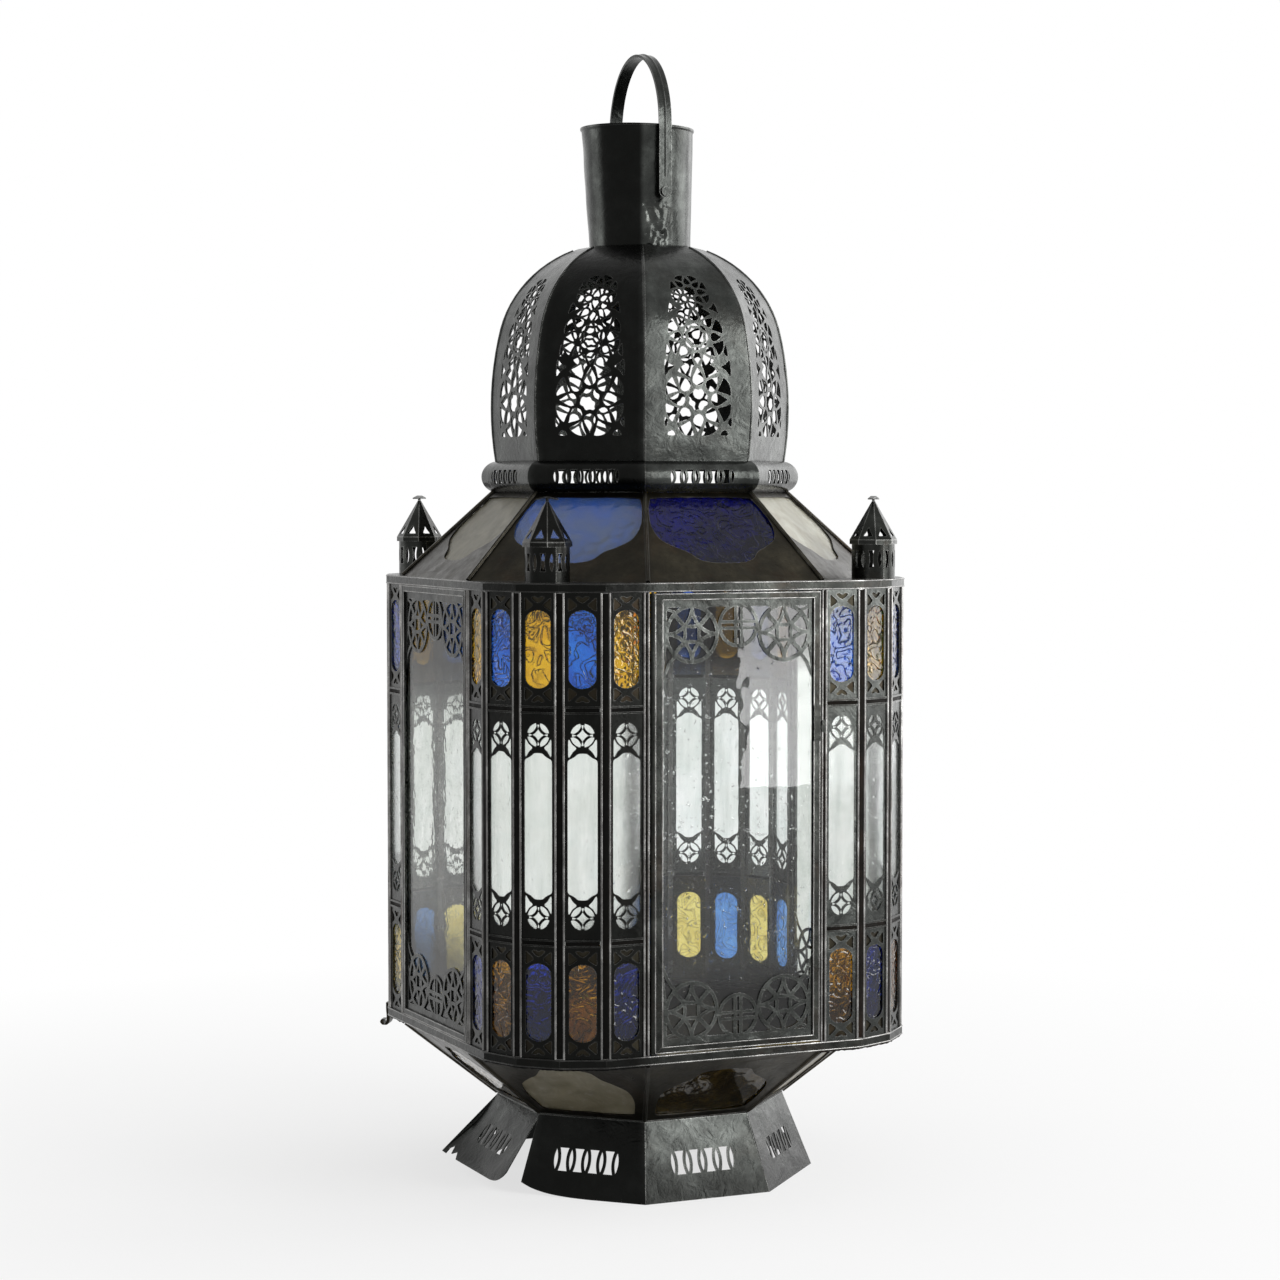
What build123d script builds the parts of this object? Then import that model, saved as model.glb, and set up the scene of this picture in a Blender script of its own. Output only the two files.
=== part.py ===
from build123d import *
import math
import os

# Candle lantern of pierced sheet iron and glass: an octagonal foot, funnel, roof and dome, a body with four flat
# sides and four rounded bays, a door in one flat side, four small turrets and a bail on a round neck.
# Lengths are in millimetres and angles in degrees. The origin is on the floor under the centre of the foot,
# +Z is up and the door faces -Y.

# Sheet, glass and clearances
sheet = 0.8
glass = 2.0
seat_gap = 0.1
seam_gap = 0.1
running_gap = 0.08
overrun = 5.0

# Plan, as radii to the corners of the octagons
sides = 8
foot_radius = 120.4
waist_radius = 100.0
body_radius = 165.0
roof_top_radius = 101.5

# Heights, from the floor up
foot_height = 51.0
funnel_height = 51.0
body_height = 312.0
roof_height = 58.0
ring_height = 21.0
dome_height = 147.0
neck_height = 82.0

# Pierced rows of bow-ties and lenses in the foot and the ring
foot_bow_ties = 4
foot_row_pitch = 10.8
foot_row_height = 15.5
ring_bow_ties = 5
ring_row_pitch = 12.4
ring_row_height = 8.8
bow_tie_width_share = 0.56
bow_tie_waist_share = 0.45
lens_width_share = 0.34

# Foot panel that is bent outward and torn at its lower corner
bent_side = 6
bent_angle = 16.0
tear_shares = [(-0.62, 0.0), (-0.74, 0.10), (-0.80, 0.04), (-0.88, 0.16), (-0.90, 0.0)]

# Floor of the candle chamber
floor_sheet = 1.0
pan_radius = 42.0
pan_height = 5.0
candle_radius = 11.0
candle_play = 0.3
socket_height = 26.0

# Windows of the funnel and the roof, half outlines as shares of half the panel's wide edge and of its slope
funnel_window_shares = [(0.52, 0.08), (0.62, 0.40), (0.52, 0.62), (0.34, 0.70), (0.26, 0.80)]
roof_window_shares = [(0.29, 0.22), (0.40, 0.34), (0.62, 0.42), (0.70, 0.66), (0.57, 0.94)]
pane_lap = 2.5

# Rails round the body
rail_height = 6.0
rail_sheet = 1.0
rail_flange = 9.0
plate_tuck = 6.0

# Cames that hold the plates and panes
came_proud = 1.2
came_back = 0.8
came_width = 7.0
came_back_width = 5.0
came_web = 2.4
post_edge = 1.0

# Bays
bay_facets = 5
end_tier_height = 81.0
cross_came_height = 5.0
end_window_width = 17.5
end_window_height = 50.0
end_window_chamfer = 5.0
middle_window_width = 19.0
middle_window_height = 94.0
middle_window_point = 6.0

# Frames, pierced sheets and door of the flat sides
frame_width = 4.5
frame_wall = 1.2
fret_band = 7.0
fret_rosette_share = 0.1528
fret_spread_share = 0.2653
fret_drop_share = 0.1702
fret_middle_share = 0.1148
fret_reach_share = 0.1267
fret_bracket_drop = 50.0
fret_rosette_sides = 12
fret_rim = 2.2
fret_cross = 1.6
door_gap = 0.8
hinge_tube_radius = 1.9
hinge_tube_sink = 0.5
hinge_rod_radius = 1.0
hinge_rod_recess = 0.2

# Drop catch beside the door
catch_height_share = 0.7
catch_length = 8.0
catch_width = 2.8
catch_sheet = 0.8
catch_rivet_radius = 0.7
catch_head_radius = 1.3
catch_head_height = 0.6
catch_rivet_depth = 2.0

# Ring moulding
ring_bulge = 7.9
ring_folds = 3
ring_lip = 6.0

# Dome: how far its ribs stand in from the ring at the base, out at the belly and in at the shoulder, with heights
# above its base, and the shares of its two arcs where the sheet is folded
dome_setback = 1.7
dome_swell = 2.8
dome_belly_height = 45.0
dome_draw = 3.2
dome_shoulder_height = 89.6
dome_side_fold_shares = [0.0, 0.21, 0.745]
dome_crown_fold_shares = [0.22, 0.45, 0.72, 1.0]
dome_top_flat = 7.0
dome_lip_reach = 2.0
petals = 8
low_rosette_height = 43.0
low_rosette_radius = 23.0
high_rosette_height = 87.0
high_rosette_radius = 18.0
petal_inner_share = 0.34
petal_belly_share = 0.66
petal_width_share = 0.22
rosette_eye_share = 0.2
rosette_eye_sides = 4

# Neck
neck_top_radius = 38.5
neck_flare = 3.5
neck_flats = 24
neck_hem = 1.2
neck_hem_height = 3.5

# Bail and its rivets
bail_width = 9.0
bail_strap = 1.8
bail_rise = 51.0
bail_pivot_drop = 46.0
bail_rim_gap = 0.8
bail_rivet_radius = 1.6
bail_head_radius = 3.4
bail_head_height = 1.4
bail_collar_radius = 3.0
bail_saddle_gap = 0.3
bail_tail = 2.0
rivet_sides = 12

# Turrets
turret_sides = 8
drum_apothem = 14.3
drum_height = 26.0
drum_slot_height = 11.5
drum_slot_width = 5.0
drum_slot_drop = 12.8
spire_height = 26.0
spire_eave = 0.6
spire_tip_radius = 1.6
spire_hole_width = 5.0
spire_hole_height = 6.5
spire_hole_rise = 3.0
finial_stem = 3.0
finial_stem_width = 1.6
finial_span = 14.0
finial_width = 4.0
finial_dip = 1.6

# Levels and plan lines that follow from the sizes above
sector = 360 / sides
half_sector = sector / 2
z_waist = foot_height
z_funnel = z_waist + floor_sheet
z_body = z_waist + funnel_height
z_eaves = z_body + body_height
z_ring = z_eaves + roof_height
z_dome = z_ring + ring_height
z_neck = z_dome + dome_height
z_top = z_neck + neck_height


def sine(angle):
    return math.sin(math.radians(angle))


def cosine(angle):
    return math.cos(math.radians(angle))


def apothem(corner_radius):
    return corner_radius * cosine(half_sector)


body_apothem = apothem(body_radius)
side_width = 2 * body_radius * sine(half_sector)
fret_rosette_radius = fret_rosette_share * side_width
fret_rosette_spread = fret_spread_share * side_width
fret_rosette_drop = fret_drop_share * side_width
fret_middle_radius = fret_middle_share * side_width
fret_bracket_reach = fret_reach_share * side_width
neck_base_radius = neck_top_radius - neck_flare
dome_base_radius = roof_top_radius - dome_setback
dome_belly_radius = dome_base_radius + dome_swell
dome_shoulder_radius = dome_base_radius - dome_draw
dome_lip_radius = neck_base_radius + dome_top_flat
facet_turns = [2 * sector * (i / (bay_facets - 1) - 1 / 2) for i in range(bay_facets)]
facet_width = side_width / sum(cosine(turn) for turn in facet_turns)
came_depth = sheet + glass + 3 * seat_gap
profile_plane = Plane(origin=(0, 0, 0), x_dir=(0, -1, 0), z_dir=(-1, 0, 0))
front_plane = Plane(origin=(0, 0, 0), x_dir=(1, 0, 0), z_dir=(0, -1, 0))
side_plane = Plane(origin=(0, -body_apothem, z_body), x_dir=(1, 0, 0), z_dir=(0, -1, 0))


def polygon(points):
    return make_face(Polyline(*points, close=True))


def turned(piece, angle):
    return Rot(0, 0, angle) * piece


def slab(plane, face, front, back):
    """A face drawn on a plane, thickened between two distances in front of that plane."""
    return extrude(plane * (Pos(0, 0, back) * face), front - back, dir=plane.z_dir)


def sector_wedge():
    """The space of the sector that faces -Y, less half a seam gap along each of its two seams."""
    apex = seam_gap / 2 / sine(half_sector)
    reach = 2 * body_radius
    spread = reach * math.tan(math.radians(half_sector))
    face = polygon([(0, -apex), (spread, -apex - reach), (-spread, -apex - reach)])
    return extrude(Pos(0, 0, -overrun) * face, z_top + 2 * overrun)


wedge = sector_wedge()


def sector_piece(profile):
    """A profile, drawn as distance from the axis and height, run across the sector between its seams."""
    return extrude(profile_plane * profile, body_radius, both=True) & wedge


def sloped_profile(low, high, thickness):
    """Section of a sheet between two (distance, height) points on its outer face, with level ends."""
    run = thickness * math.dist(low, high) / (high[1] - low[1])
    return polygon([low, high, (high[0] - run, high[1]), (low[0] - run, low[1])])


def slope_plane(low, high):
    """The outer face of a sloping panel, with its origin at the middle of the low edge and +y up the slope."""
    rise = high[1] - low[1]
    run = high[0] - low[0]
    return Plane(origin=(0, -low[0], low[1]), x_dir=(1, 0, 0), z_dir=(0, -rise, -run))


def mirrored_outline(half):
    """A closed outline from its +x half, listed from the low end to the high end."""
    return polygon(half + [(-x, y) for x, y in reversed(half)])


def scaled(shares, width, height):
    return [(x * width, y * height) for x, y in shares]


def bow_tie(width, height):
    waist = width * bow_tie_waist_share
    half = [(width / 2, -height / 2), (waist / 2, 0), (width / 2, height / 2)]
    return mirrored_outline(half)


def lens(width, height):
    return polygon([(0, -height / 2), (width / 2, 0), (0, height / 2), (-width / 2, 0)])


def bow_tie_row(count, pitch, height):
    bow = bow_tie(pitch * bow_tie_width_share, height)
    return [Pos((i - (count - 1) / 2) * pitch, 0) * bow for i in range(count)]


def lens_row(count, pitch, height):
    return [Pos((i - (count - 1) / 2) * pitch, 0) * lens(pitch * lens_width_share, height) for i in range(count)]


def folded(arc, shares):
    """Points along an arc where a sheet is folded to follow it."""
    return [tuple(arc @ share)[:2] for share in shares]


def bent_sheet(points):
    """Section of a sheet bent along the points of its outer face, with the axis on its inner side."""
    return make_face(offset(Polyline(*points), sheet, side=Side.LEFT, kind=Kind.INTERSECTION))


def cut_through(piece, plane, holes, depth):
    """A piece with holes, drawn on a plane, cut through it to both sides of that plane."""
    return piece - [extrude(plane * hole, depth, both=True) for hole in holes]


# Foot
foot_low = (apothem(foot_radius), 0)
foot_high = (apothem(waist_radius), z_waist)
foot_slope = math.dist(foot_low, foot_high)
foot_plane = slope_plane(foot_low, foot_high)
foot_row = bow_tie_row(foot_bow_ties, foot_row_pitch, foot_row_height)
foot_row += lens_row(foot_bow_ties + 1, foot_row_pitch, foot_row_height)
foot_row = [Pos(0, foot_slope / 2) * hole for hole in foot_row]
foot_panel = cut_through(sector_piece(sloped_profile(foot_low, foot_high, sheet)), foot_plane, foot_row, overrun)
tear = polygon(scaled(tear_shares, foot_radius * sine(half_sector), foot_slope))
fold = Axis((0, -foot_high[0], foot_high[1]), (1, 0, 0))
bent_panel = cut_through(foot_panel, foot_plane, [tear], overrun).rotate(fold, -bent_angle)
foot_panels = [turned(bent_panel if i == bent_side else foot_panel, i * sector) for i in range(sides)]

# Floor plate, drip pan and candle socket
floor_plate = extrude(
    Pos(0, 0, z_waist) * RegularPolygon(waist_radius, sides, rotation=half_sector), floor_sheet
)
pan_outline = RegularPolygon(pan_radius, sides, rotation=half_sector)
pan_hollow = RegularPolygon(pan_radius - sheet, sides, rotation=half_sector)
pan_block = extrude(Pos(0, 0, z_funnel) * pan_outline, pan_height)
drip_pan = pan_block - extrude(Pos(0, 0, z_funnel + sheet) * pan_hollow, pan_height)
socket_bore = candle_radius + candle_play
socket_ring = Circle(socket_bore + sheet) - Circle(socket_bore)
candle_socket = extrude(Pos(0, 0, z_funnel + sheet) * socket_ring, socket_height)


# Funnel and roof
def glazed_panel(low, high, shares):
    """A sloping sheet with a window, and the pane that covers the window from behind."""
    plane = slope_plane(low, high)
    half_width = max(low[0], high[0]) * math.tan(math.radians(half_sector))
    window = mirrored_outline(scaled(shares, half_width, math.dist(low, high)))
    panel = cut_through(sector_piece(sloped_profile(low, high, sheet)), plane, [window], overrun)
    pane_face = offset(window, pane_lap, kind=Kind.INTERSECTION)
    front = -sheet - seat_gap
    pane = slab(plane, pane_face, front, front - glass) & wedge
    return panel, pane


funnel_low = (apothem(waist_radius), z_funnel)
funnel_high = (body_apothem, z_body)
funnel_panel, funnel_pane = glazed_panel(funnel_low, funnel_high, funnel_window_shares)
roof_panel, roof_pane = glazed_panel((body_apothem, z_eaves), (apothem(roof_top_radius), z_ring), roof_window_shares)
funnel_panels = [turned(funnel_panel, i * sector) for i in range(sides)]
roof_panels = [turned(roof_panel, i * sector) for i in range(sides)]
funnel_amber_panes = [turned(funnel_pane, i * sector) for i in range(0, sides, 2)]
funnel_clear_panes = [turned(funnel_pane, i * sector) for i in range(1, sides, 2)]
roof_blue_panes = [turned(roof_pane, i * sector) for i in range(sides) if (i + 1) % 4 < 2]
roof_clear_panes = [turned(roof_pane, i * sector) for i in range(sides) if (i + 1) % 4 >= 2]


# Plan of the body
def bay_corner_points():
    """Plan corners of the facets of a bay whose middle faces -Y, from one corner post to the next."""
    points = [(-side_width / 2, -body_apothem)]
    for turn in facet_turns:
        x, y = points[-1]
        points.append((x + facet_width * cosine(turn), y + facet_width * sine(turn)))
    return points


bay_corners = bay_corner_points()


def plan_face(margin):
    """The plan of the body at the front of its plates, grown by a margin."""
    points = []
    for quarter in range(4):
        angle = (2 * quarter + 1) * sector
        for x, y in bay_corners[1:-1]:
            points.append((x * cosine(angle) - y * sine(angle), x * sine(angle) + y * cosine(angle)))
    face = polygon(points)
    return offset(face, margin, kind=Kind.INTERSECTION) if margin else face


# Rails and bay plates
hinge_u = -side_width / 2 + post_edge + door_gap + hinge_tube_radius
hinge_n = came_proud - hinge_tube_radius
hinge_y = -body_apothem - hinge_n
hinge_hole = Pos(hinge_u, hinge_y, 0) * Cylinder(hinge_rod_radius + running_gap, 2 * rail_height + overrun)


def rail():
    """An angle strip round the plan, with its flange at the bottom and its lip in front of the plates."""
    outline = plan_face(came_proud)
    lip = extrude(outline - plan_face(0), rail_height)
    flange = extrude(outline - plan_face(-rail_flange), rail_sheet)
    return lip + flange - hinge_hole


bottom_rail = Pos(0, 0, z_body) * rail()
top_rail = Pos(0, 0, z_eaves) * mirror(rail(), Plane.XY)
plate_reach = Pos(0, -body_radius - body_apothem + plate_tuck) * Rectangle(4 * body_radius, 2 * body_radius)
bay_plate = extrude(turned(plan_face(-rail_flange - seat_gap), sector) & plate_reach, rail_sheet)
bay_angles = [(2 * k + 1) * sector for k in range(4)]
bay_bottom_plates = [Pos(0, 0, z_body) * turned(bay_plate, angle) for angle in bay_angles]
bay_top_plates = [Pos(0, 0, z_eaves - rail_sheet) * turned(bay_plate, angle) for angle in bay_angles]


# Bays
def facet_plane(i):
    """The front of the plates of one facet, with its origin at the foot of the facet's middle."""
    x = (bay_corners[i][0] + bay_corners[i + 1][0]) / 2
    y = (bay_corners[i][1] + bay_corners[i + 1][1]) / 2
    along = (cosine(facet_turns[i]), sine(facet_turns[i]), 0)
    outward = (sine(facet_turns[i]), -cosine(facet_turns[i]), 0)
    return Plane(origin=(x, y, z_body), x_dir=along, z_dir=outward)


def came_point(corner, turn, along, out):
    """A plan point a distance along a facet from a corner, and out from the front of that facet's plates."""
    x, y = corner
    return (x + along * cosine(turn) + out * sine(turn), y + along * sine(turn) - out * cosine(turn))


def came_bend(corner, turn, out):
    """The plan point where the two facets beside a corner meet, out from the front of their plates."""
    middle = turn + (facet_turns[1] - facet_turns[0]) / 2
    reach = out / cosine((facet_turns[1] - facet_turns[0]) / 2)
    return (corner[0] + reach * sine(middle), corner[1] - reach * cosine(middle))


came_inner = -came_depth - came_back
came_low = z_body + rail_height + seat_gap
came_length = body_height - 2 * (rail_height + seat_gap)
came_steps = [
    (came_width / 2, came_proud),
    (came_width / 2, 0),
    (came_web / 2, 0),
    (came_web / 2, -came_depth),
    (came_back_width / 2, -came_depth),
    (came_back_width / 2, came_inner),
]


def bent_came(i):
    """The upright came between facet i and the next: flanges in front of and behind the glass, and a web."""
    corner = bay_corners[i + 1]
    here = facet_turns[i]
    after = facet_turns[i + 1]
    right = [came_point(corner, after, along, out) for along, out in came_steps]
    left = [came_point(corner, here, -along, out) for along, out in reversed(came_steps)]
    points = [came_bend(corner, here, came_proud)] + right + [came_bend(corner, here, came_inner)] + left
    return extrude(Pos(0, 0, came_low) * polygon(points), came_length)


def corner_post():
    """The upright strip at the -X end of a bay: a came towards the bay and a plain edge towards the flat side."""
    corner = bay_corners[0]
    turn = facet_turns[0]
    bay_side = [came_point(corner, turn, along, out) for along, out in came_steps]
    edge = [came_point(corner, turn, -post_edge, out) for out in (came_inner, came_proud)]
    return extrude(Pos(0, 0, came_low) * polygon(bay_side + edge), came_length)


plate_width = facet_width - came_web - 2 * seat_gap
tier_low = rail_sheet + seat_gap
tier_high = body_height - tier_low
cross_levels = [end_tier_height, body_height - end_tier_height]
tier_edge = came_web / 2 + seat_gap
tiers = [
    (tier_low, cross_levels[0] - tier_edge),
    (cross_levels[0] + tier_edge, cross_levels[1] - tier_edge),
    (cross_levels[1] + tier_edge, tier_high),
]


def end_window():
    """A coloured window: an upright rectangle with its corners cut off."""
    half_width = end_window_width / 2
    half_height = end_window_height / 2
    cut = end_window_chamfer
    half = [(half_width - cut, -half_height), (half_width, cut - half_height)]
    return mirrored_outline(half + [(x, -y) for x, y in reversed(half)])


def middle_window():
    """A clear window: an upright rectangle with pointed ends."""
    half_width = middle_window_width / 2
    half_height = middle_window_height / 2
    spring = half_height - middle_window_point
    right = [(half_width, -spring), (half_width, spring)]
    left = [(-half_width, spring), (-half_width, -spring)]
    return polygon([(0, -half_height)] + right + [(0, half_height)] + left)


def tier_plates(i):
    """The three pierced plates of one facet, bottom tier first."""
    plates = []
    visible = [
        (rail_height + cross_levels[0] - cross_came_height / 2) / 2,
        body_height / 2,
        body_height - (rail_height + cross_levels[0] - cross_came_height / 2) / 2,
    ]
    for (low, high), centre, window in zip(tiers, visible, (end_window(), middle_window(), end_window())):
        blank = Pos(0, (low + high) / 2) * Rectangle(plate_width, high - low)
        plates.append(slab(facet_plane(i), blank - Pos(0, centre) * window, -seat_gap, -seat_gap - sheet))
    return plates


def tier_panes(i):
    """The three panes of one facet, bottom tier first."""
    front = -2 * seat_gap - sheet
    panes = []
    for low, high in tiers:
        blank = Pos(0, (low + high) / 2) * Rectangle(plate_width, high - low)
        panes.append(slab(facet_plane(i), blank, front, front - glass))
    return panes


def cross_cames(i):
    """The two short bars that cover the joints between the tiers of one facet."""
    length = facet_width - came_width - 2 * seat_gap
    bars = []
    for level in cross_levels:
        bar = Pos(0, level) * Rectangle(length, cross_came_height)
        bars.append(slab(facet_plane(i), bar, came_proud, 0))
    return bars


post = corner_post()
posts = [post, mirror(post, Plane.YZ)]
bay_cames = [bent_came(i) for i in range(bay_facets - 1)]
for i in range(bay_facets):
    bay_cames += cross_cames(i)
bay_plates = []
bay_panes = []
for i in range(bay_facets):
    bay_plates += tier_plates(i)
    bay_panes.append(tier_panes(i))


def bay_glass(amber_top_first):
    """The panes of a bay by colour: amber and blue alternate along the top tier and swap in the bottom tier."""
    clear = [panes[1] for panes in bay_panes]
    amber = []
    blue = []
    for i, panes in enumerate(bay_panes):
        top_is_amber = (i % 2 == 0) == amber_top_first
        (amber if top_is_amber else blue).append(panes[2])
        (blue if top_is_amber else amber).append(panes[0])
    return clear, amber, blue


# Flat sides
def mitred_frame(width, height):
    """Four mitred channel lengths round a flat side, in the order left, right, top, bottom."""
    outer = Rectangle(width, height)
    flange = outer - Rectangle(width - 2 * frame_width, height - 2 * frame_width)
    wall = outer - Rectangle(width - 2 * frame_wall, height - 2 * frame_wall)
    front = slab(side_plane, Pos(0, body_height / 2) * flange, came_proud, 0)
    middle = slab(side_plane, Pos(0, body_height / 2) * wall, came_proud, came_inner)
    back = slab(side_plane, Pos(0, body_height / 2) * flange, -came_depth, came_inner)
    frame = front + middle + back
    w = width / 2
    h = height / 2
    left = [(-w, -h), (-w, h), (0, h - w), (0, w - h)]
    top = [(-w, h), (w, h), (0, h - w)]
    regions = [left, [(-x, y) for x, y in left], top, [(x, -y) for x, y in top]]
    lengths = []
    for region in regions:
        block = slab(side_plane, Pos(0, body_height / 2) * polygon(region), overrun, -2 * overrun)
        lengths.append(frame & block)
    return lengths


def rosette_holes(radius):
    """Four openings between the rim of a rosette and its cross bars."""
    inner = radius - fret_rim
    bar = fret_cross / 2
    reach = math.sqrt(inner**2 - bar**2)
    corner = inner * cosine(45)
    quarter = [(bar, bar), (reach, bar), (corner, corner), (bar, reach)]
    return [Rot(0, 0, 90 * k) * polygon(quarter) for k in range(4)]


def scalloped_fret(width, height):
    """The pierced sheet at the top of a flat side, from the top edge of the opening downward."""
    band_drop = frame_width + fret_band
    band = Pos(0, -band_drop / 2) * Rectangle(width, band_drop)
    sheet_face = band
    holes = []
    for x in (-fret_rosette_spread, fret_rosette_spread):
        place = Pos(x, -fret_rosette_drop - frame_width)
        sheet_face += place * RegularPolygon(fret_rosette_radius, fret_rosette_sides)
        holes += [place * hole for hole in rosette_holes(fret_rosette_radius)]
    middle_drop = frame_width + fret_rim + fret_middle_radius
    place = Pos(0, -middle_drop)
    sheet_face += place * RegularPolygon(fret_middle_radius, fret_rosette_sides)
    holes += [place * hole for hole in rosette_holes(fret_middle_radius)]
    edge = width / 2
    bracket = [(edge, 0), (edge, -fret_bracket_drop), (edge - fret_bracket_reach, -fret_rosette_drop - frame_width)]
    for sign in (-1, 1):
        sheet_face += polygon([(sign * x, y) for x, y in bracket])
    for hole in holes:
        sheet_face -= hole
    return Pos(0, height) * sheet_face


def side_glazing(width, height):
    """The pierced sheets and the pane of a flat side, set in the channels of a frame of that size."""
    play = 2 * (frame_wall + seat_gap)
    inner_width = width - play
    inner_height = height - play
    top = scalloped_fret(inner_width, inner_height / 2)
    bottom = mirror(top, Plane.XZ)
    middle = Pos(0, body_height / 2)
    frets = [slab(side_plane, middle * face, -seat_gap, -seat_gap - sheet) for face in (bottom, top)]
    front = -2 * seat_gap - sheet
    pane = slab(side_plane, middle * Rectangle(inner_width, inner_height), front, front - glass)
    return frets, pane


opening_width = side_width - 2 * post_edge
opening_height = came_length + 2 * seat_gap
side_frame_width = opening_width - 2 * seat_gap
side_frame_height = opening_height - 2 * seat_gap
side_lengths = mitred_frame(side_frame_width, side_frame_height)
side_frets, side_pane = side_glazing(side_frame_width, side_frame_height)

# Door: the same frame beside a hinge tube, with a rod through the tube into both rails
door_height = opening_height - 2 * door_gap
leaf_shift = hinge_tube_radius - hinge_tube_sink / 2
leaf_width = opening_width - 2 * door_gap - 2 * leaf_shift
leaf_lengths = [Pos(leaf_shift, 0, 0) * piece for piece in mitred_frame(leaf_width, door_height)]
leaf_frets, leaf_pane = side_glazing(leaf_width, door_height)
door_frets = [Pos(leaf_shift, 0, 0) * piece for piece in leaf_frets]
door_pane = Pos(leaf_shift, 0, 0) * leaf_pane
hinge_place = Pos(hinge_u, hinge_y, z_body + body_height / 2)
hinge_bore = hinge_place * Cylinder(hinge_rod_radius + running_gap, door_height + 2 * overrun)
hinge_stile = leaf_lengths[0] + hinge_place * Cylinder(hinge_tube_radius, door_height) - hinge_bore
door_lengths = [hinge_stile] + leaf_lengths[1:]
hinge_rod = hinge_place * Cylinder(hinge_rod_radius, body_height - 2 * hinge_rod_recess)

# Drop catch on the post at the door's free edge
catch_u = side_width / 2 + (came_web / 2 - post_edge) / 2
catch_plane = Plane(
    origin=(catch_u, -body_apothem, z_body + catch_height_share * body_height), x_dir=(1, 0, 0), z_dir=(0, -1, 0)
)
catch_back = came_proud + seat_gap
catch_front = catch_back + catch_sheet
catch_tail = catch_length - catch_width
catch_outline = Circle(catch_width / 2) + Pos(0, -catch_tail / 2) * Rectangle(catch_width, catch_tail)
catch_outline += Pos(0, -catch_tail) * Circle(catch_width / 2)
catch_hole = Circle(catch_rivet_radius + running_gap)
door_catch = slab(catch_plane, catch_outline - catch_hole, catch_front, catch_back)
catch_head_start = catch_front + seat_gap
catch_shank_face = RegularPolygon(catch_rivet_radius, rivet_sides)
catch_shank = slab(catch_plane, catch_shank_face, catch_head_start, -catch_rivet_depth)
catch_head_face = RegularPolygon(catch_head_radius, rivet_sides)
catch_head = slab(catch_plane, catch_head_face, catch_head_start + catch_head_height, catch_head_start)
catch_rivet = catch_shank + catch_head
rivet_seat = slab(catch_plane, catch_hole, overrun, -catch_rivet_depth - seat_gap)
corner_posts = [turned(piece, angle) for angle in bay_angles for piece in posts]
corner_posts = [piece - rivet_seat if i == 0 else piece for i, piece in enumerate(corner_posts)]

# Ring moulding between the roof and the dome
ring_apothem = apothem(roof_top_radius)
ring_crown = (ring_apothem + ring_bulge, z_ring + ring_height / 2)
ring_arc = ThreePointArc((ring_apothem, z_ring), ring_crown, (ring_apothem, z_dome))
ring_points = [(ring_apothem - ring_lip, z_ring)]
ring_points += folded(ring_arc, [i / ring_folds for i in range(ring_folds + 1)])
ring_profile = bent_sheet(ring_points + [(ring_apothem - ring_lip, z_dome)])
ring_row = bow_tie_row(ring_bow_ties, ring_row_pitch, ring_row_height)
ring_holes = [Pos(0, z_ring + ring_height / 2) * hole for hole in ring_row]
ring_length = sector_piece(ring_profile)
ring_length -= [extrude(front_plane * hole, body_radius) for hole in ring_holes]
ring_moulding = [turned(ring_length, i * sector) for i in range(sides)]


# Dome
def rosette(radius):
    """A square eye and a ring of kite-shaped petals, drawn as holes."""
    inner = radius * petal_inner_share
    belly = radius * petal_belly_share
    width = radius * petal_width_share
    petal = polygon([(0, inner), (width, belly), (0, radius), (-width, belly)])
    holes = [RegularPolygon(radius * rosette_eye_share, rosette_eye_sides)]
    return holes + [Rot(0, 0, k * 360 / petals) * petal for k in range(petals)]


dome_side = ThreePointArc(
    (apothem(dome_base_radius), z_dome),
    (apothem(dome_belly_radius), z_dome + dome_belly_height),
    (apothem(dome_shoulder_radius), z_dome + dome_shoulder_height),
)
dome_crown = TangentArc(dome_side @ 1, (apothem(dome_lip_radius), z_neck), tangent=dome_side % 1)
dome_lip_end = (apothem(neck_base_radius - sheet - dome_lip_reach), z_neck)
dome_points = folded(dome_side, dome_side_fold_shares) + folded(dome_crown, dome_crown_fold_shares)
gore_profile = bent_sheet(dome_points + [dome_lip_end])
gore_holes = [Pos(0, z_dome + low_rosette_height) * hole for hole in rosette(low_rosette_radius)]
gore_holes += [Pos(0, z_dome + high_rosette_height) * hole for hole in rosette(high_rosette_radius)]
gore = sector_piece(gore_profile) - [extrude(front_plane * hole, body_radius) for hole in gore_holes]
dome_gores = [turned(gore, i * sector) for i in range(sides)]

# Neck, beaten round in narrow flats
z_pivot = z_top - bail_pivot_drop
pivot_radius = neck_base_radius + neck_flare * (z_pivot - z_neck) / neck_height
neck_taper = math.degrees(math.atan2(neck_flare, neck_height))


def neck_ring(radius):
    """The neck's plan, with the middles of its flats at a radius from the axis."""
    return RegularPolygon(radius, neck_flats, major_radius=False, rotation=180 / neck_flats)


neck_outside = extrude(Pos(0, 0, z_neck) * neck_ring(neck_base_radius), neck_height, taper=-neck_taper)
neck_inside = extrude(Pos(0, 0, z_neck) * neck_ring(neck_base_radius - sheet), neck_height, taper=-neck_taper)
neck_hem_band = extrude(
    Pos(0, 0, z_top - neck_hem_height) * neck_ring(neck_top_radius + neck_hem), neck_hem_height
)
neck_tube = neck_outside + neck_hem_band - neck_inside
rivet_bore = Plane(origin=(0, 0, z_pivot), x_dir=(1, 0, 0), z_dir=(0, -1, 0)) * Cylinder(
    bail_rivet_radius + seat_gap, 4 * neck_top_radius
)
neck = neck_tube - rivet_bore

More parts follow.
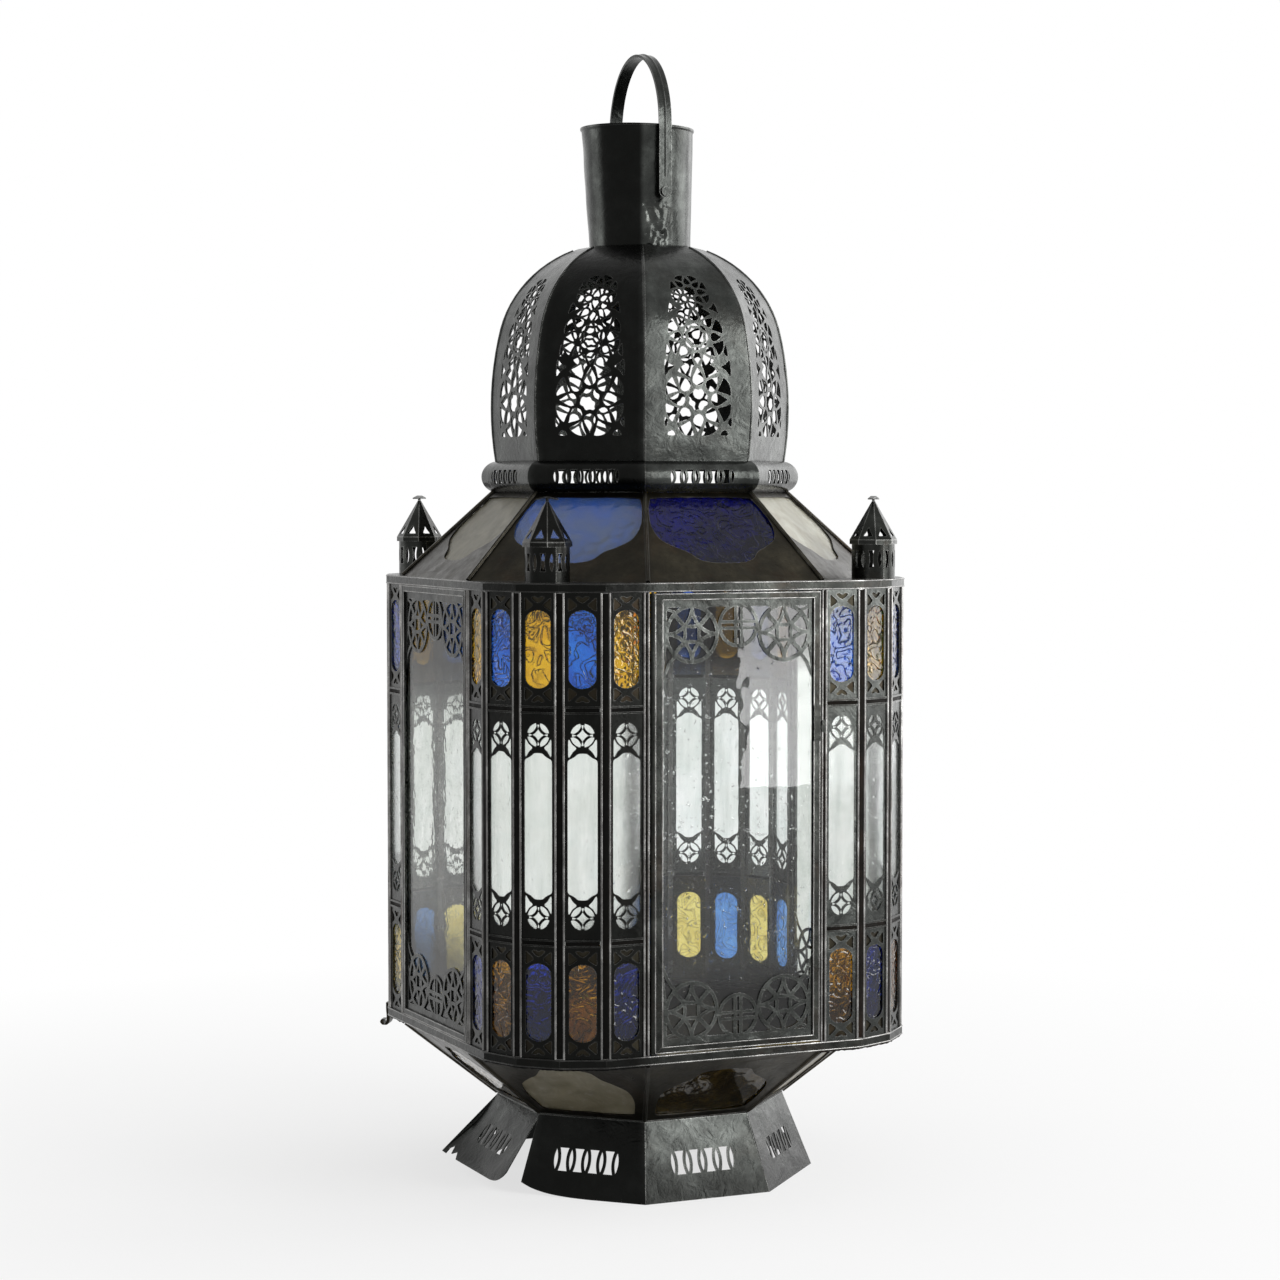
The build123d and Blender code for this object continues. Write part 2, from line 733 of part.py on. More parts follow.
# Bail and its rivets
leg_inner = neck_top_radius + neck_hem + bail_rim_gap
leg_outer = leg_inner + bail_strap
strap_plane = Plane(origin=(0, 0, 0), x_dir=(0, 1, 0), z_dir=(1, 0, 0))


def arch_face(half_width, rise):
    """The area under an arch that springs at the height of the neck's rim, down to the pivots."""
    legs = Pos(0, z_top - bail_pivot_drop / 2) * Rectangle(2 * half_width, bail_pivot_drop)
    crown = Pos(0, z_top) * (Ellipse(half_width, rise) & Pos(0, rise / 2) * Rectangle(2 * half_width, rise))
    return legs + crown


strap_face = arch_face(leg_outer, bail_rise) - arch_face(leg_inner, bail_rise - bail_strap)
bail_arch = extrude(strap_plane * strap_face, bail_width / 2, both=True)
bail_eyes = Circle(bail_width / 2)
pivot_plane = Plane(origin=(0, 0, z_pivot), x_dir=(1, 0, 0), z_dir=(0, -1, 0))
bail = bail_arch + slab(pivot_plane, bail_eyes, leg_outer, leg_inner) + slab(
    pivot_plane, bail_eyes, -leg_inner, -leg_outer
)
bail -= pivot_plane * Cylinder(bail_rivet_radius + running_gap, 4 * leg_outer)


def rivet_length(radius, start, end):
    """A hammered length of rivet between two distances from the axis of the lantern."""
    return slab(pivot_plane, RegularPolygon(radius, rivet_sides), end, start)


def bail_rivet():
    """A shouldered rivet: a tail inside the neck, a collar outside it, a shank in the strap and a head."""
    collar_start = pivot_radius + bail_saddle_gap
    head_start = leg_outer + seat_gap
    shank = rivet_length(bail_rivet_radius, pivot_radius - sheet - bail_tail, head_start)
    collar = rivet_length(bail_collar_radius, collar_start, leg_inner - seat_gap)
    return shank + collar + rivet_length(bail_head_radius, head_start, head_start + bail_head_height)


bail_rivets = [bail_rivet(), turned(bail_rivet(), 180)]

# Turrets
turret_turn = 360 / turret_sides
drum_ring = RegularPolygon(drum_apothem, turret_sides, major_radius=False, rotation=turret_turn / 2)
drum_ring -= RegularPolygon(drum_apothem - sheet, turret_sides, major_radius=False, rotation=turret_turn / 2)
drum_wall = extrude(drum_ring, drum_height)
drum_slots = [bow_tie(drum_slot_width, drum_slot_height), lens(drum_slot_width, drum_slot_height)]
drum_cuts = [
    extrude(front_plane * (Pos(0, drum_height - drum_slot_drop) * slot), 2 * drum_apothem) for slot in drum_slots
]
drum = drum_wall - [turned(drum_cuts[k % 2], k * turret_turn) for k in range(turret_sides)]
eave_apothem = drum_apothem + spire_eave


spire_taper = math.degrees(math.atan2(eave_apothem - spire_tip_radius, spire_height))
spire_face = RegularPolygon(eave_apothem, turret_sides, major_radius=False, rotation=turret_turn / 2)
spire_solid = extrude(spire_face, spire_height, taper=spire_taper)
spire_run = sheet * math.dist((eave_apothem, 0), (spire_tip_radius, spire_height)) / spire_height
spire_shell = spire_solid - Pos(0, 0, -spire_run) * spire_solid
spire_hole_half = [(spire_hole_width / 2, spire_hole_rise), (0, spire_hole_rise + spire_hole_height)]
spire_hole_face = polygon(spire_hole_half + [(-spire_hole_width / 2, spire_hole_rise)])
spire_hole = extrude(front_plane * spire_hole_face, 2 * eave_apothem)
spire = spire_shell - [turned(spire_hole, k * turret_turn) for k in range(turret_sides)]
wing = finial_span / 2
finial_points = [(-wing, -finial_dip), (0, 0), (wing, -finial_dip)]
finial_points += [(wing, sheet - finial_dip), (0, sheet), (-wing, sheet - finial_dip)]
finial_strip = extrude(front_plane * polygon(finial_points), finial_width / 2, both=True)
finial_post = extrude(Rectangle(finial_stem_width, finial_stem_width), finial_stem)
finial = finial_post + Pos(0, 0, finial_stem - sheet / 2) * finial_strip
bay_depth = -min(y for x, y in bay_corners) - body_apothem
turret_place = Pos(0, -body_apothem - bay_depth / 2, z_eaves)
z_spire = drum_height + seat_gap
turret_drums = [turned(turret_place * drum, angle) for angle in bay_angles]
turret_spires = [turned(turret_place * Pos(0, 0, z_spire) * spire, angle) for angle in bay_angles]
turret_finials = [
    turned(turret_place * Pos(0, 0, z_spire + spire_height) * finial, angle) for angle in bay_angles
]

# Nodes
nodes = {
    "foot_panels": foot_panels,
    "floor_plate": [floor_plate],
    "drip_pan": [drip_pan],
    "candle_socket": [candle_socket],
    "funnel_panels": funnel_panels,
    "funnel_amber_panes": funnel_amber_panes,
    "funnel_clear_panes": funnel_clear_panes,
    "bottom_rail": [bottom_rail],
    "top_rail": [top_rail],
    "corner_posts": corner_posts,
    "bay_bottom_plates": bay_bottom_plates,
    "bay_top_plates": bay_top_plates,
    "door_frame": door_lengths,
    "door_fret": door_frets,
    "door_pane": [door_pane],
    "door_hinge_rod": [hinge_rod],
    "door_catch": [door_catch],
    "catch_rivet": [catch_rivet],
    "roof_panels": roof_panels,
    "roof_blue_panes": roof_blue_panes,
    "roof_clear_panes": roof_clear_panes,
    "ring_moulding": ring_moulding,
    "dome_gores": dome_gores,
    "neck": [neck],
    "bail": [bail],
    "bail_rivets": bail_rivets,
    "turret_drums": turret_drums,
    "turret_spires": turret_spires,
    "turret_finials": turret_finials,
}
for k, name in enumerate(("right", "back", "left")):
    angle = 2 * (k + 1) * sector
    nodes[f"{name}_side_frame"] = [turned(piece, angle) for piece in side_lengths]
    nodes[f"{name}_side_fret"] = [turned(piece, angle) for piece in side_frets]
    nodes[f"{name}_side_pane"] = [turned(side_pane, angle)]
for k, angle in enumerate(bay_angles):
    clear, amber, blue = bay_glass(k % 2 == 1)
    nodes[f"bay_{k + 1}_cames"] = [turned(piece, angle) for piece in bay_cames]
    nodes[f"bay_{k + 1}_plates"] = [turned(piece, angle) for piece in bay_plates]
    nodes[f"bay_{k + 1}_clear_panes"] = [turned(piece, angle) for piece in clear]
    nodes[f"bay_{k + 1}_amber_panes"] = [turned(piece, angle) for piece in amber]
    nodes[f"bay_{k + 1}_blue_panes"] = [turned(piece, angle) for piece in blue]

os.makedirs("parts", exist_ok=True)
for name, pieces in nodes.items():
    solids = [solid for piece in pieces for solid in piece.solids()]
    export_step(solids[0] if len(solids) == 1 else Compound(solids), f"parts/{name}.step")
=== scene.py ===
import math

import bpy
import numpy as np
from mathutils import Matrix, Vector, noise
from mathutils.geometry import delaunay_2d_cdt


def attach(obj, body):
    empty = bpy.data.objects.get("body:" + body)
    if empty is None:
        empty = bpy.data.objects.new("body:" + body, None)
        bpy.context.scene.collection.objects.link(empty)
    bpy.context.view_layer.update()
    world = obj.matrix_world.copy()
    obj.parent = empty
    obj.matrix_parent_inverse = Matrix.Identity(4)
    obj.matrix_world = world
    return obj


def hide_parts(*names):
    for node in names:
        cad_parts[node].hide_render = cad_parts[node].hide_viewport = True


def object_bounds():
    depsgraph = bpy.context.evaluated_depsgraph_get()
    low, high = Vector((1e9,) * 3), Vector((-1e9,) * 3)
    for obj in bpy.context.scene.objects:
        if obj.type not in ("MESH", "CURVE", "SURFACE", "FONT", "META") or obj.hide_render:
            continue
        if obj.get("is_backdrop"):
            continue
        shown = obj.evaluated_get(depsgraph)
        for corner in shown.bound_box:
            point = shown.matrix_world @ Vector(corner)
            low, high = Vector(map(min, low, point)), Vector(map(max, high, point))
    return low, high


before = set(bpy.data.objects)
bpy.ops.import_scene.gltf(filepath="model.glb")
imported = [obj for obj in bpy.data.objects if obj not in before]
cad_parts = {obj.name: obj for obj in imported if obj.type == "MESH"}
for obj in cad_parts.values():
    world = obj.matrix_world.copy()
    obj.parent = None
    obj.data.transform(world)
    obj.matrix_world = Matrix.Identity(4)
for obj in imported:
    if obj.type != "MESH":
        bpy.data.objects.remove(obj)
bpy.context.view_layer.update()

scene = bpy.context.scene

# Sizes of the CAD model, in millimetres; +Z is up and the door faces -Y
SIDES, SECTOR = 8, 45.0
HALF = math.radians(SECTOR / 2)
SHEET, GLASS, SEAT = 0.8, 2.0, 0.1
FOOT_R, WAIST_R, BODY_R, ROOF_TOP_R = 120.4, 100.0, 165.0, 101.5
Z_WAIST, Z_FUNNEL, Z_BODY, Z_EAVES = 51.0, 52.0, 102.0, 414.0
Z_RING, Z_DOME, Z_NECK, Z_TOP = 472.0, 493.0, 640.0, 722.0
BODY_H = Z_EAVES - Z_BODY
APOTHEM = BODY_R * math.cos(HALF)
SIDE_W = 2 * BODY_R * math.sin(HALF)
TURNS = [-45.0, -22.5, 0.0, 22.5, 45.0]
FACET_W = SIDE_W / sum(math.cos(math.radians(t)) for t in TURNS)
BAY_ANGLES = [(2 * k + 1) * SECTOR for k in range(4)]
CAME_PROUD, CAME_DEPTH, CAME_BACK = 1.2, 3.1, 0.8
RAIL_H = 6.0
LEVELS = [81.0, 231.0]
BENT_SIDE, BENT_ANGLE, FREE_EDGE_CURL = 6, 16.0, 9.0


def ap(corner_radius):
    return corner_radius * math.cos(HALF)


# Plane drawing
def polar(degrees):
    a = math.radians(degrees)
    return math.cos(a), math.sin(a)


def arc(cx, cy, r, a0, a1, n=20):
    t = np.radians(np.linspace(a0, a1, n + 1))
    return np.stack([cx + r * np.cos(t), cy + r * np.sin(t)], 1)


def circle(cx, cy, r, n=40):
    return arc(cx, cy, r, 0, 360, n)[:-1]


def line(*points):
    return np.array(points, float)


def rect(half, low, high):
    return [(-half, low), (half, low), (half, high), (-half, high)]


def trapezoid(low_half, high_half, length):
    return [(-low_half, 0), (low_half, 0), (high_half, length), (-high_half, length)]


def moved(outline, u, v):
    return np.array(outline, float) + [u, v]


def spun(points, degrees):
    c, s = polar(degrees)
    return np.stack([points[:, 0] * c - points[:, 1] * s, points[:, 0] * s + points[:, 1] * c], 1)


def both(points):
    """A closed outline from its +u half, listed from the low end to the high end."""
    p = np.array(points, float)
    return np.vstack([p, (p * [-1, 1])[::-1]])


def smooth(points, closed=False, per=6):
    """A Catmull-Rom line through the points."""
    p = np.array(points, float)
    n = len(p)
    out = []
    for i in range(n if closed else n - 1):
        if closed:
            a, b, c, d = (p[(i + k) % n] for k in (-1, 0, 1, 2))
        else:
            a, b, c, d = p[max(i - 1, 0)], p[i], p[i + 1], p[min(i + 2, n - 1)]
        for t in np.arange(per) / per:
            out.append(0.5 * (2 * b + (c - a) * t + (2 * a - 5 * b + 4 * c - d) * t**2
                              + (3 * b - a - 3 * c + d) * t**3))
    return np.array(out if closed else out + [p[-1]])


def loop(points, per=3):
    return smooth(points, True, per)


def offset(points, distance, closed):
    p = np.array(points, float)
    if closed:
        before, after = np.roll(p, 1, 0), np.roll(p, -1, 0)
    else:
        before, after = np.vstack([p[:1], p[:-1]]), np.vstack([p[1:], p[-1:]])
    t = after - before
    t /= np.maximum(np.linalg.norm(t, axis=1, keepdims=True), 1e-9)
    return p + distance * np.stack([-t[:, 1], t[:, 0]], 1)


def inside(poly, pts):
    x, y = pts[:, 0], pts[:, 1]
    hit = np.zeros(len(pts), bool)
    a = np.array(poly, float)
    for (x1, y1), (x2, y2) in zip(a, np.roll(a, -1, 0)):
        if y1 != y2:
            hit ^= ((y1 > y) != (y2 > y)) & (x < (x2 - x1) * (y - y1) / (y2 - y1) + x1)
    return hit


def near(points, closed, half, pts):
    p = np.array(points, float)
    q = np.roll(p, -1, 0) if closed else p[1:]
    hit = np.zeros(len(pts), bool)
    for a, b in zip(p, q):
        d = b - a
        t = np.clip(((pts - a) @ d) / max(d @ d, 1e-12), 0, 1)
        hit |= ((pts - a - t[:, None] * d) ** 2).sum(1) < half * half
    return hit


def cut_sheet(outline, holes=(), strokes=(), lines=(), grid=(), limit=None):
    """Triangles of a flat sheet: the outline less its holes, with strips (points, closed, half width) left
    across them. Holes count only inside the limit; lines and grid points are worked into the mesh."""
    verts, edges = [], []

    def add(points, closed=True):
        start, n = len(verts), len(points)
        verts.extend(Vector((float(p[0]), float(p[1]))) for p in points)
        edges.extend((start + i, start + (i + 1) % n) for i in range(n if closed else n - 1))

    add(outline)
    if limit is not None:
        add(limit)
    for hole in holes:
        add(hole)
    for points, closed, half in strokes:
        left, right = offset(points, half, closed), offset(points, -half, closed)
        if closed:
            add(left)
            add(right)
        else:
            add(np.vstack([left, right[::-1]]))
    for points in lines:
        add(points, False)
    verts.extend(Vector((float(u), float(v))) for u, v in grid)
    out = delaunay_2d_cdt(verts, edges, [], 0, 1e-4)
    v = np.array([tuple(p) for p in out[0]])
    f = np.array([tuple(t) for t in out[2] if len(t) == 3])
    c = v[f].mean(1)
    void = np.zeros(len(c), bool)
    for hole in holes:
        void |= inside(hole, c)
    for points, closed, half in strokes:
        void &= ~near(points, closed, half, c)
    if limit is not None:
        void &= inside(limit, c)
    f = f[inside(outline, c) & ~void]
    used = np.unique(f)
    renumber = np.zeros(len(v), int)
    renumber[used] = np.arange(len(used))
    return v[used], renumber[f]


def grid_points(half, v0, v1, step):
    nu, nv = max(int(2 * half / step), 2), max(int((v1 - v0) / step), 2)
    return [(-half + 2 * half * (i + 0.5 * (j % 2)) / nu, v0 + (v1 - v0) * j / nv)
            for j in range(1, nv) for i in range(1, nu)]


# Placing sheets
def flat(origin, xdir, ydir):
    o, x, y = (np.array(a, float) for a in (origin, xdir, ydir))
    x, y = x / np.linalg.norm(x), y / np.linalg.norm(y)
    n = np.cross(x, y)

    def place(uv):
        return o + uv[:, :1] * x + uv[:, 1:] * y, np.repeat(n[None], len(uv), 0)

    return place


def slope(low, high):
    """The outer face of a sloping panel between two (distance from the axis, height) points."""
    return flat((0, -low[0], low[1]), (1, 0, 0), (0, low[0] - high[0], high[1] - low[1]))


def curved(profile):
    """A sheet bent along a profile of (distance, height) points; v is the length along the profile."""
    p = np.array(profile, float)
    s = np.concatenate([[0], np.cumsum(np.linalg.norm(np.diff(p, axis=0), axis=1))])
    t = np.gradient(p, s, axis=0)
    t /= np.linalg.norm(t, axis=1, keepdims=True)

    def place(uv):
        r, z, tr, tz = (np.interp(uv[:, 1], s, a) for a in (p[:, 0], p[:, 1], t[:, 0], t[:, 1]))
        return np.stack([uv[:, 0], -r, z], 1), np.stack([np.zeros(len(uv)), -tz, -tr], 1)

    return place, s, p


def turned(points, degrees):
    p = np.array(points, float)
    return np.hstack([spun(p, degrees), p[:, 2:]])


def beaten(points, normals, amount, size, seed):
    """Uneven hammering: each point moved along its normal by smooth noise."""
    out = points.copy()
    for i, (p, n) in enumerate(zip(points, normals)):
        q = Vector(p / size) + Vector((seed * 7.3, seed * 3.1, seed * 1.7))
        out[i] = p + n * (amount * (noise.noise(q) + 0.5 * noise.noise(q * 2.3)))
    return out


def ring_faces(rings, around):
    """Faces between rings of points that follow each other."""
    pairs = [(i, (i + 1) % around) for i in range(around)]
    return [(a + low, b + low, b + low + around, a + low + around)
            for low in range(0, (rings - 1) * around, around) for a, b in pairs]


class Build:
    """Collects vertices (millimetres) and faces, and makes one Blender object (metres) of them."""

    def __init__(self):
        self.v, self.f, self.count = [], [], 0

    def add(self, verts, faces, turn=0.0):
        verts = turned(verts, turn) if turn else np.array(verts, float)
        self.f += [tuple(int(i) + self.count for i in f) for f in faces]
        self.v.append(verts)
        self.count += len(verts)

    def sheet(self, tri, place, thick=SHEET, turn=0.0, lift=0.0, dent=None, relief=None):
        """A sheet of even thickness with walls round its edges and holes; dent is (amount, size, seed), and
        relief moves the front face only."""
        uv, f = tri
        p, n = place(uv)
        if dent:
            p = beaten(p, n, *dent)
        front = p + n * lift
        if relief is not None:
            front = front + n * relief(uv)[:, None]
        back = p + n * (lift - thick)
        k = len(uv)
        a, b, c = p[f[0]]
        if np.dot(np.cross(b - a, c - a), n[f[0][0]]) < 0:
            f = f[:, ::-1]
        edges = {(int(t[i]), int(t[(i + 1) % 3])): None for t in f for i in range(3)}
        walls = [(j, j + k, i + k, i) for i, j in edges if (j, i) not in edges]
        faces = [tuple(t) for t in f] + [tuple(t[::-1] + k) for t in f] + walls
        self.add(np.vstack([front, back]), faces, turn)

    def prism(self, outline, low, high, turn=0.0):
        """A plan outline run up between two heights."""
        p = np.array(outline, float)
        n = len(p)
        sides = [(i, (i + 1) % n, (i + 1) % n + n, i + n) for i in range(n)]
        self.add(np.vstack([np.hstack([p, np.full((n, 1), float(z))]) for z in (low, high)]),
                 sides + [tuple(range(n - 1, -1, -1)), tuple(range(n, 2 * n))], turn)

    def tube(self, path, radius, sides=8, turn=0.0, ref=(0, 0, 1.0)):
        """A round bead along a path, with closed ends; the radius may change along it."""
        p = np.array(path, float)
        n = len(p)
        t = np.gradient(p, axis=0)
        t /= np.linalg.norm(t, axis=1, keepdims=True)
        rings = []
        for q, d, r in zip(p, t, np.broadcast_to(radius, (n,))):
            x = np.cross(ref, d)
            x /= np.linalg.norm(x)
            y = np.cross(d, x)
            for a in (2 * math.pi * k / sides for k in range(sides)):
                rings.append(q + r * (math.cos(a) * x + math.sin(a) * y))
        ends = [tuple(range(sides - 1, -1, -1)), tuple(range((n - 1) * sides, n * sides))]
        self.add(np.array(rings), ring_faces(n, sides) + ends, turn)

    def make(self, name, material, body="lantern", slot="dark_iron", replaces=(), angle=35.0):
        mesh = bpy.data.meshes.new(name)
        points = np.vstack(self.v) / 1000
        points[:, 2] = np.maximum(points[:, 2], 0.0)
        mesh.from_pydata(points.tolist(), [], self.f)
        mesh.validate()
        mesh.polygons.foreach_set("use_smooth", [True] * len(mesh.polygons))
        mesh.set_sharp_from_angle(angle=math.radians(angle))
        mesh.materials.append(material)
        obj = bpy.data.objects.new(name, mesh)
        scene.collection.objects.link(obj)
        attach(obj, body)
        if replaces:
            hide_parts(*replaces)


# Materials
class Nodes:
    """The node tree of a material or the world; positions are object coordinates, in metres."""

    def __init__(self, owner, output="OutputMaterial"):
        owner.use_nodes = True
        self.tree = owner.node_tree
        self.tree.nodes.clear()
        self.surface = self.node(output, None).inputs["Surface"]
        self.coord = self.node("TexCoord", "Object")

    def put(self, value, socket):
        """Link an output to the socket, or set the socket to a number, vector or colour."""
        if isinstance(value, bpy.types.NodeSocket):
            self.tree.links.new(value, socket)
        else:
            socket.default_value = (*value, 1.0) if socket.type == "RGBA" else value

    def node(self, kind, result, inputs=None, **settings):
        """A new node with its settings and inputs; gives its named output, or the node itself."""
        n = self.tree.nodes.new("ShaderNode" + kind)
        for key, value in settings.items():
            setattr(n, key, value)
        for key, value in (inputs or {}).items():
            self.put(value, n.inputs[key])
        return n.outputs[result] if result else n

    def noise(self, scale, detail=6.0, rough=0.6, stretch=None, distortion=0.0):
        at = self.coord
        if stretch:
            at = self.node("Mapping", "Vector", {"Vector": at, "Scale": stretch})
        return self.node("TexNoise", "Fac", {
            "Vector": at, "Scale": scale, "Detail": detail, "Roughness": rough, "Distortion": distortion})

    def ramp(self, value, *stops):
        n = self.node("ValToRGB", None, {"Fac": value})
        while len(n.color_ramp.elements) < len(stops):
            n.color_ramp.elements.new(0.5)
        for e, (position, colour) in zip(n.color_ramp.elements, stops):
            e.position = position
            e.color = (*colour, 1.0)
        return n.outputs["Color"]

    def range(self, value, low, high, to_low, to_high):
        return self.node("MapRange", "Result", {
            "Value": value, "From Min": low, "From Max": high, "To Min": to_low, "To Max": to_high})

    def mix(self, factor, a, b):
        return self.node("Mix", "Result", {"Factor": factor, "A": a, "B": b}, data_type="RGBA")

    def math(self, op, a, b=0.0):
        return self.node("Math", "Value", {0: a, 1: b}, operation=op)

    def bump(self, height, strength, distance):
        return self.node("Bump", "Normal", {"Strength": strength, "Distance": distance, "Height": height})

    def axes(self):
        return self.node("SeparateXYZ", None, {"Vector": self.coord}).outputs

    def rays(self):
        return self.node("LightPath", None).outputs

    def seen(self):
        """1 for camera, glossy and transmission rays, 0 for the rest."""
        rays = self.rays()
        mirrored = self.math("MAXIMUM", rays["Is Glossy Ray"], rays["Is Transmission Ray"])
        return self.math("MAXIMUM", rays["Is Camera Ray"], mirrored)

    def blend(self, factor, a, b):
        return self.node("MixShader", "Shader", {0: factor, 1: a, 2: b})


# How lit the metal is painted, by degrees round the lantern from -Y (1 is no painted shade); the front-left
# eighth is painted the darkest
PAINTED_LIGHT_BY_AZIMUTH = [(-180, 0.6), (-115, 0.85), (-72, 0.85), (-65.5, 0.0), (-24.5, 0.0), (-20.0, 1.0), (45, 0.9),
         (75, 0.75), (108, 0.3), (150, 0.5), (180, 0.6)]
# Painted shade near the floor: the metal darkens from the upper height down to the lower, in metres
FLOOR_SHADE_FROM, FLOOR_SHADE_TO = 0.008, 0.050
# Rust, pitting, and the near-black colour that painted shade darkens the metal to
RUST_BROWN, PITTING, PAINTED_SHADE = (0.040, 0.017, 0.007), (0.006, 0.0055, 0.005), (0.0030, 0.0031, 0.0027)
BARE_METAL, WORN_EDGE = (0.36, 0.36, 0.345), 0.0006
STREAKS, POOLS = (0.40, 0.47, 0.45), (0.62, 0.66, 0.60)
# Dust, and the near-black painted shade laid over the ends of the door and left panes
DUST, PANE_SHADE = (0.62, 0.60, 0.54), (0.055, 0.056, 0.046)
PANE_MIDDLE, DULL_FROM, DULL_TO = 0.258, 0.132, 0.160


def iron(name, dark, light, rust=0.35, rough=(0.24, 0.46), seed=0.0, wear=0.6, crinkle=0.2, painted_shade_depth=0.85):
    """Old tinned iron: painted shade by direction round the lantern and towards the floor, worn patches and
    edges, rust, scratches, folds.
    """
    mat = bpy.data.materials.new(name)
    m = Nodes(mat)
    at = m.axes()
    # Painted shade: a level from the direction round the lantern (1 lit, 0 shaded), lowered near the floor
    azimuth = m.math("ARCTAN2", at["X"], m.math("MULTIPLY", at["Y"], -1.0))
    level = m.range(azimuth, -math.pi, math.pi, 0.0, 1.0)
    level = m.ramp(level, *[(0.5 + a / 360, (v, v, v)) for a, v in PAINTED_LIGHT_BY_AZIMUTH])
    level = m.math("MULTIPLY", level, m.range(at["Z"], FLOOR_SHADE_FROM, FLOOR_SHADE_TO, 0.10, 1.0))
    shift = (seed, seed * 1.7, seed * 0.6)
    m.coord = m.node("VectorMath", "Vector", {0: m.coord, 1: shift}, operation="ADD")
    patches = m.noise(48, 10, 0.68)
    middle = tuple(0.65 * a + 0.35 * b for a, b in zip(dark, light))
    colour = m.ramp(patches, (0.30, tuple(0.45 * v for v in middle)), (0.52, middle), (0.76, light))
    scratch = m.noise(80, 5, 0.75, stretch=(5, 5, 0.5))
    colour = m.mix(m.range(scratch, 0.60, 0.76, 0.0, 0.35), colour, light)
    colour = m.mix(m.range(m.noise(17, 8, 0.72), 0.52, 0.72, 0.0, rust), colour, RUST_BROWN)
    colour = m.mix(m.range(m.noise(420, 3, 0.6), 0.62, 0.74, 0.0, 0.4), colour, PITTING)
    # Painted shade: the colour goes towards near-black where the painted level is low
    colour = m.mix(m.range(level, 0.0, 1.0, painted_shade_depth, 0.0), colour, PAINTED_SHADE)
    if wear:
        soft = m.node("Bevel", "Normal", {"Radius": WORN_EDGE}, samples=3)
        sharp = m.node("NewGeometry", "Normal")
        edge = m.node("VectorMath", "Value", {0: soft, 1: sharp}, operation="DOT_PRODUCT")
        edge = m.range(edge, 0.995, 0.80, 0.0, wear)
        edge = m.math("MULTIPLY", edge, m.range(patches, 0.40, 0.62, 0.25, 1.0))
        # Worn edges show less where the shade is painted
        edge = m.math("MULTIPLY", edge, m.range(level, 0.0, 1.0, 0.5, 1.0))
        colour = m.mix(edge, colour, BARE_METAL)
    folds = m.math("ABSOLUTE", m.math("SUBTRACT", m.noise(85, 3, 0.55, distortion=0.7), 0.5))
    height = m.math("ADD", m.math("MULTIPLY", folds, 1.3), m.math("MULTIPLY", m.noise(620, 4, 0.65), 0.16))
    m.put(m.node("BsdfPrincipled", "BSDF", {
        "Base Color": colour, "Metallic": 0.88, "Specular IOR Level": 0.3,
        "Roughness": m.range(m.noise(90, 6, 0.7), 0.3, 0.7, rough[1], rough[0]),
        "Normal": m.bump(height, crinkle, 0.0014)}), m.surface)
    return mat


def glass(name, colour, shade, rough=0.03, transmission=1.0, wave=0.0004, wave_scale=40, cloud=0.0,
          scroll=0.0, specular=0.5, ior=1.46, shaded_ends=None, streak=0.0):
    """A tinted pane: uneven tint, waves and seeds, pressed scroll lines, streaks, dust, and light through it
    in shadow; an (amount, from, to) triple paints shade over its ends, by the distance from the middle of the
    body."""
    mat = bpy.data.materials.new(name)
    m = Nodes(mat)
    tint = m.mix(m.range(m.noise(48, 5, 0.6, distortion=0.8), 0.35, 0.68, 0.0, 1.0), shade, colour)
    height = m.math("ADD", m.noise(wave_scale, 3, 0.5), m.range(m.noise(320, 2, 0.5), 0.68, 0.74, 0.0, 0.25))
    if scroll:
        level = m.math("FRACT", m.math("MULTIPLY", m.noise(75, 1, 0.4, distortion=0.4), 7.0))
        curl = m.range(m.math("ABSOLUTE", m.math("SUBTRACT", level, 0.5)), 0.0, 0.16, 1.0, 0.0)
        tint = m.mix(m.math("MULTIPLY", curl, scroll), tint, tuple(0.30 * v for v in shade))
        height = m.math("ADD", height, m.math("MULTIPLY", curl, 0.8))
    if streak:
        runs = m.noise(70, 6, 0.7, stretch=(1.6, 1.6, 0.14))
        tint = m.mix(m.range(runs, 0.44, 0.66, 0.0, streak), tint, STREAKS)
        pools = m.noise(20, 4, 0.6, stretch=(1.0, 1.0, 0.6))
        tint = m.mix(m.range(pools, 0.46, 0.62, 0.0, 0.8 * streak), tint, POOLS)
    dust = m.range(m.noise(150, 7, 0.75), 0.52, 0.74, 0.0, cloud)
    tint = m.mix(dust, tint, DUST)
    gloss = specular
    if shaded_ends:
        amount, start, end = shaded_ends
        # Painted shade over the pane's top and bottom, darkening what is seen through them
        up = m.axes()["Z"]
        ends = m.math("ABSOLUTE", m.math("SUBTRACT", up, PANE_MIDDLE))
        ends = m.math("ADD", ends, m.math("MULTIPLY", m.noise(30, 5, 0.6), 0.022))
        tint = m.mix(m.range(ends, start, end, 0.0, amount), tint, PANE_SHADE)
        gloss = m.range(up, DULL_FROM, DULL_TO, 0.12 * specular, specular)
    pane = m.node("BsdfPrincipled", "BSDF", {
        "Base Color": tint, "Roughness": m.range(dust, 0.0, 1.0, rough, 0.6), "Specular IOR Level": gloss,
        "IOR": ior, "Transmission Weight": transmission, "Normal": m.bump(height, 0.5, wave)})
    clear = m.node("BsdfTransparent", "BSDF", {"Color": tint})
    m.put(m.blend(m.rays()["Is Shadow Ray"], pane, clear), m.surface)
    return mat


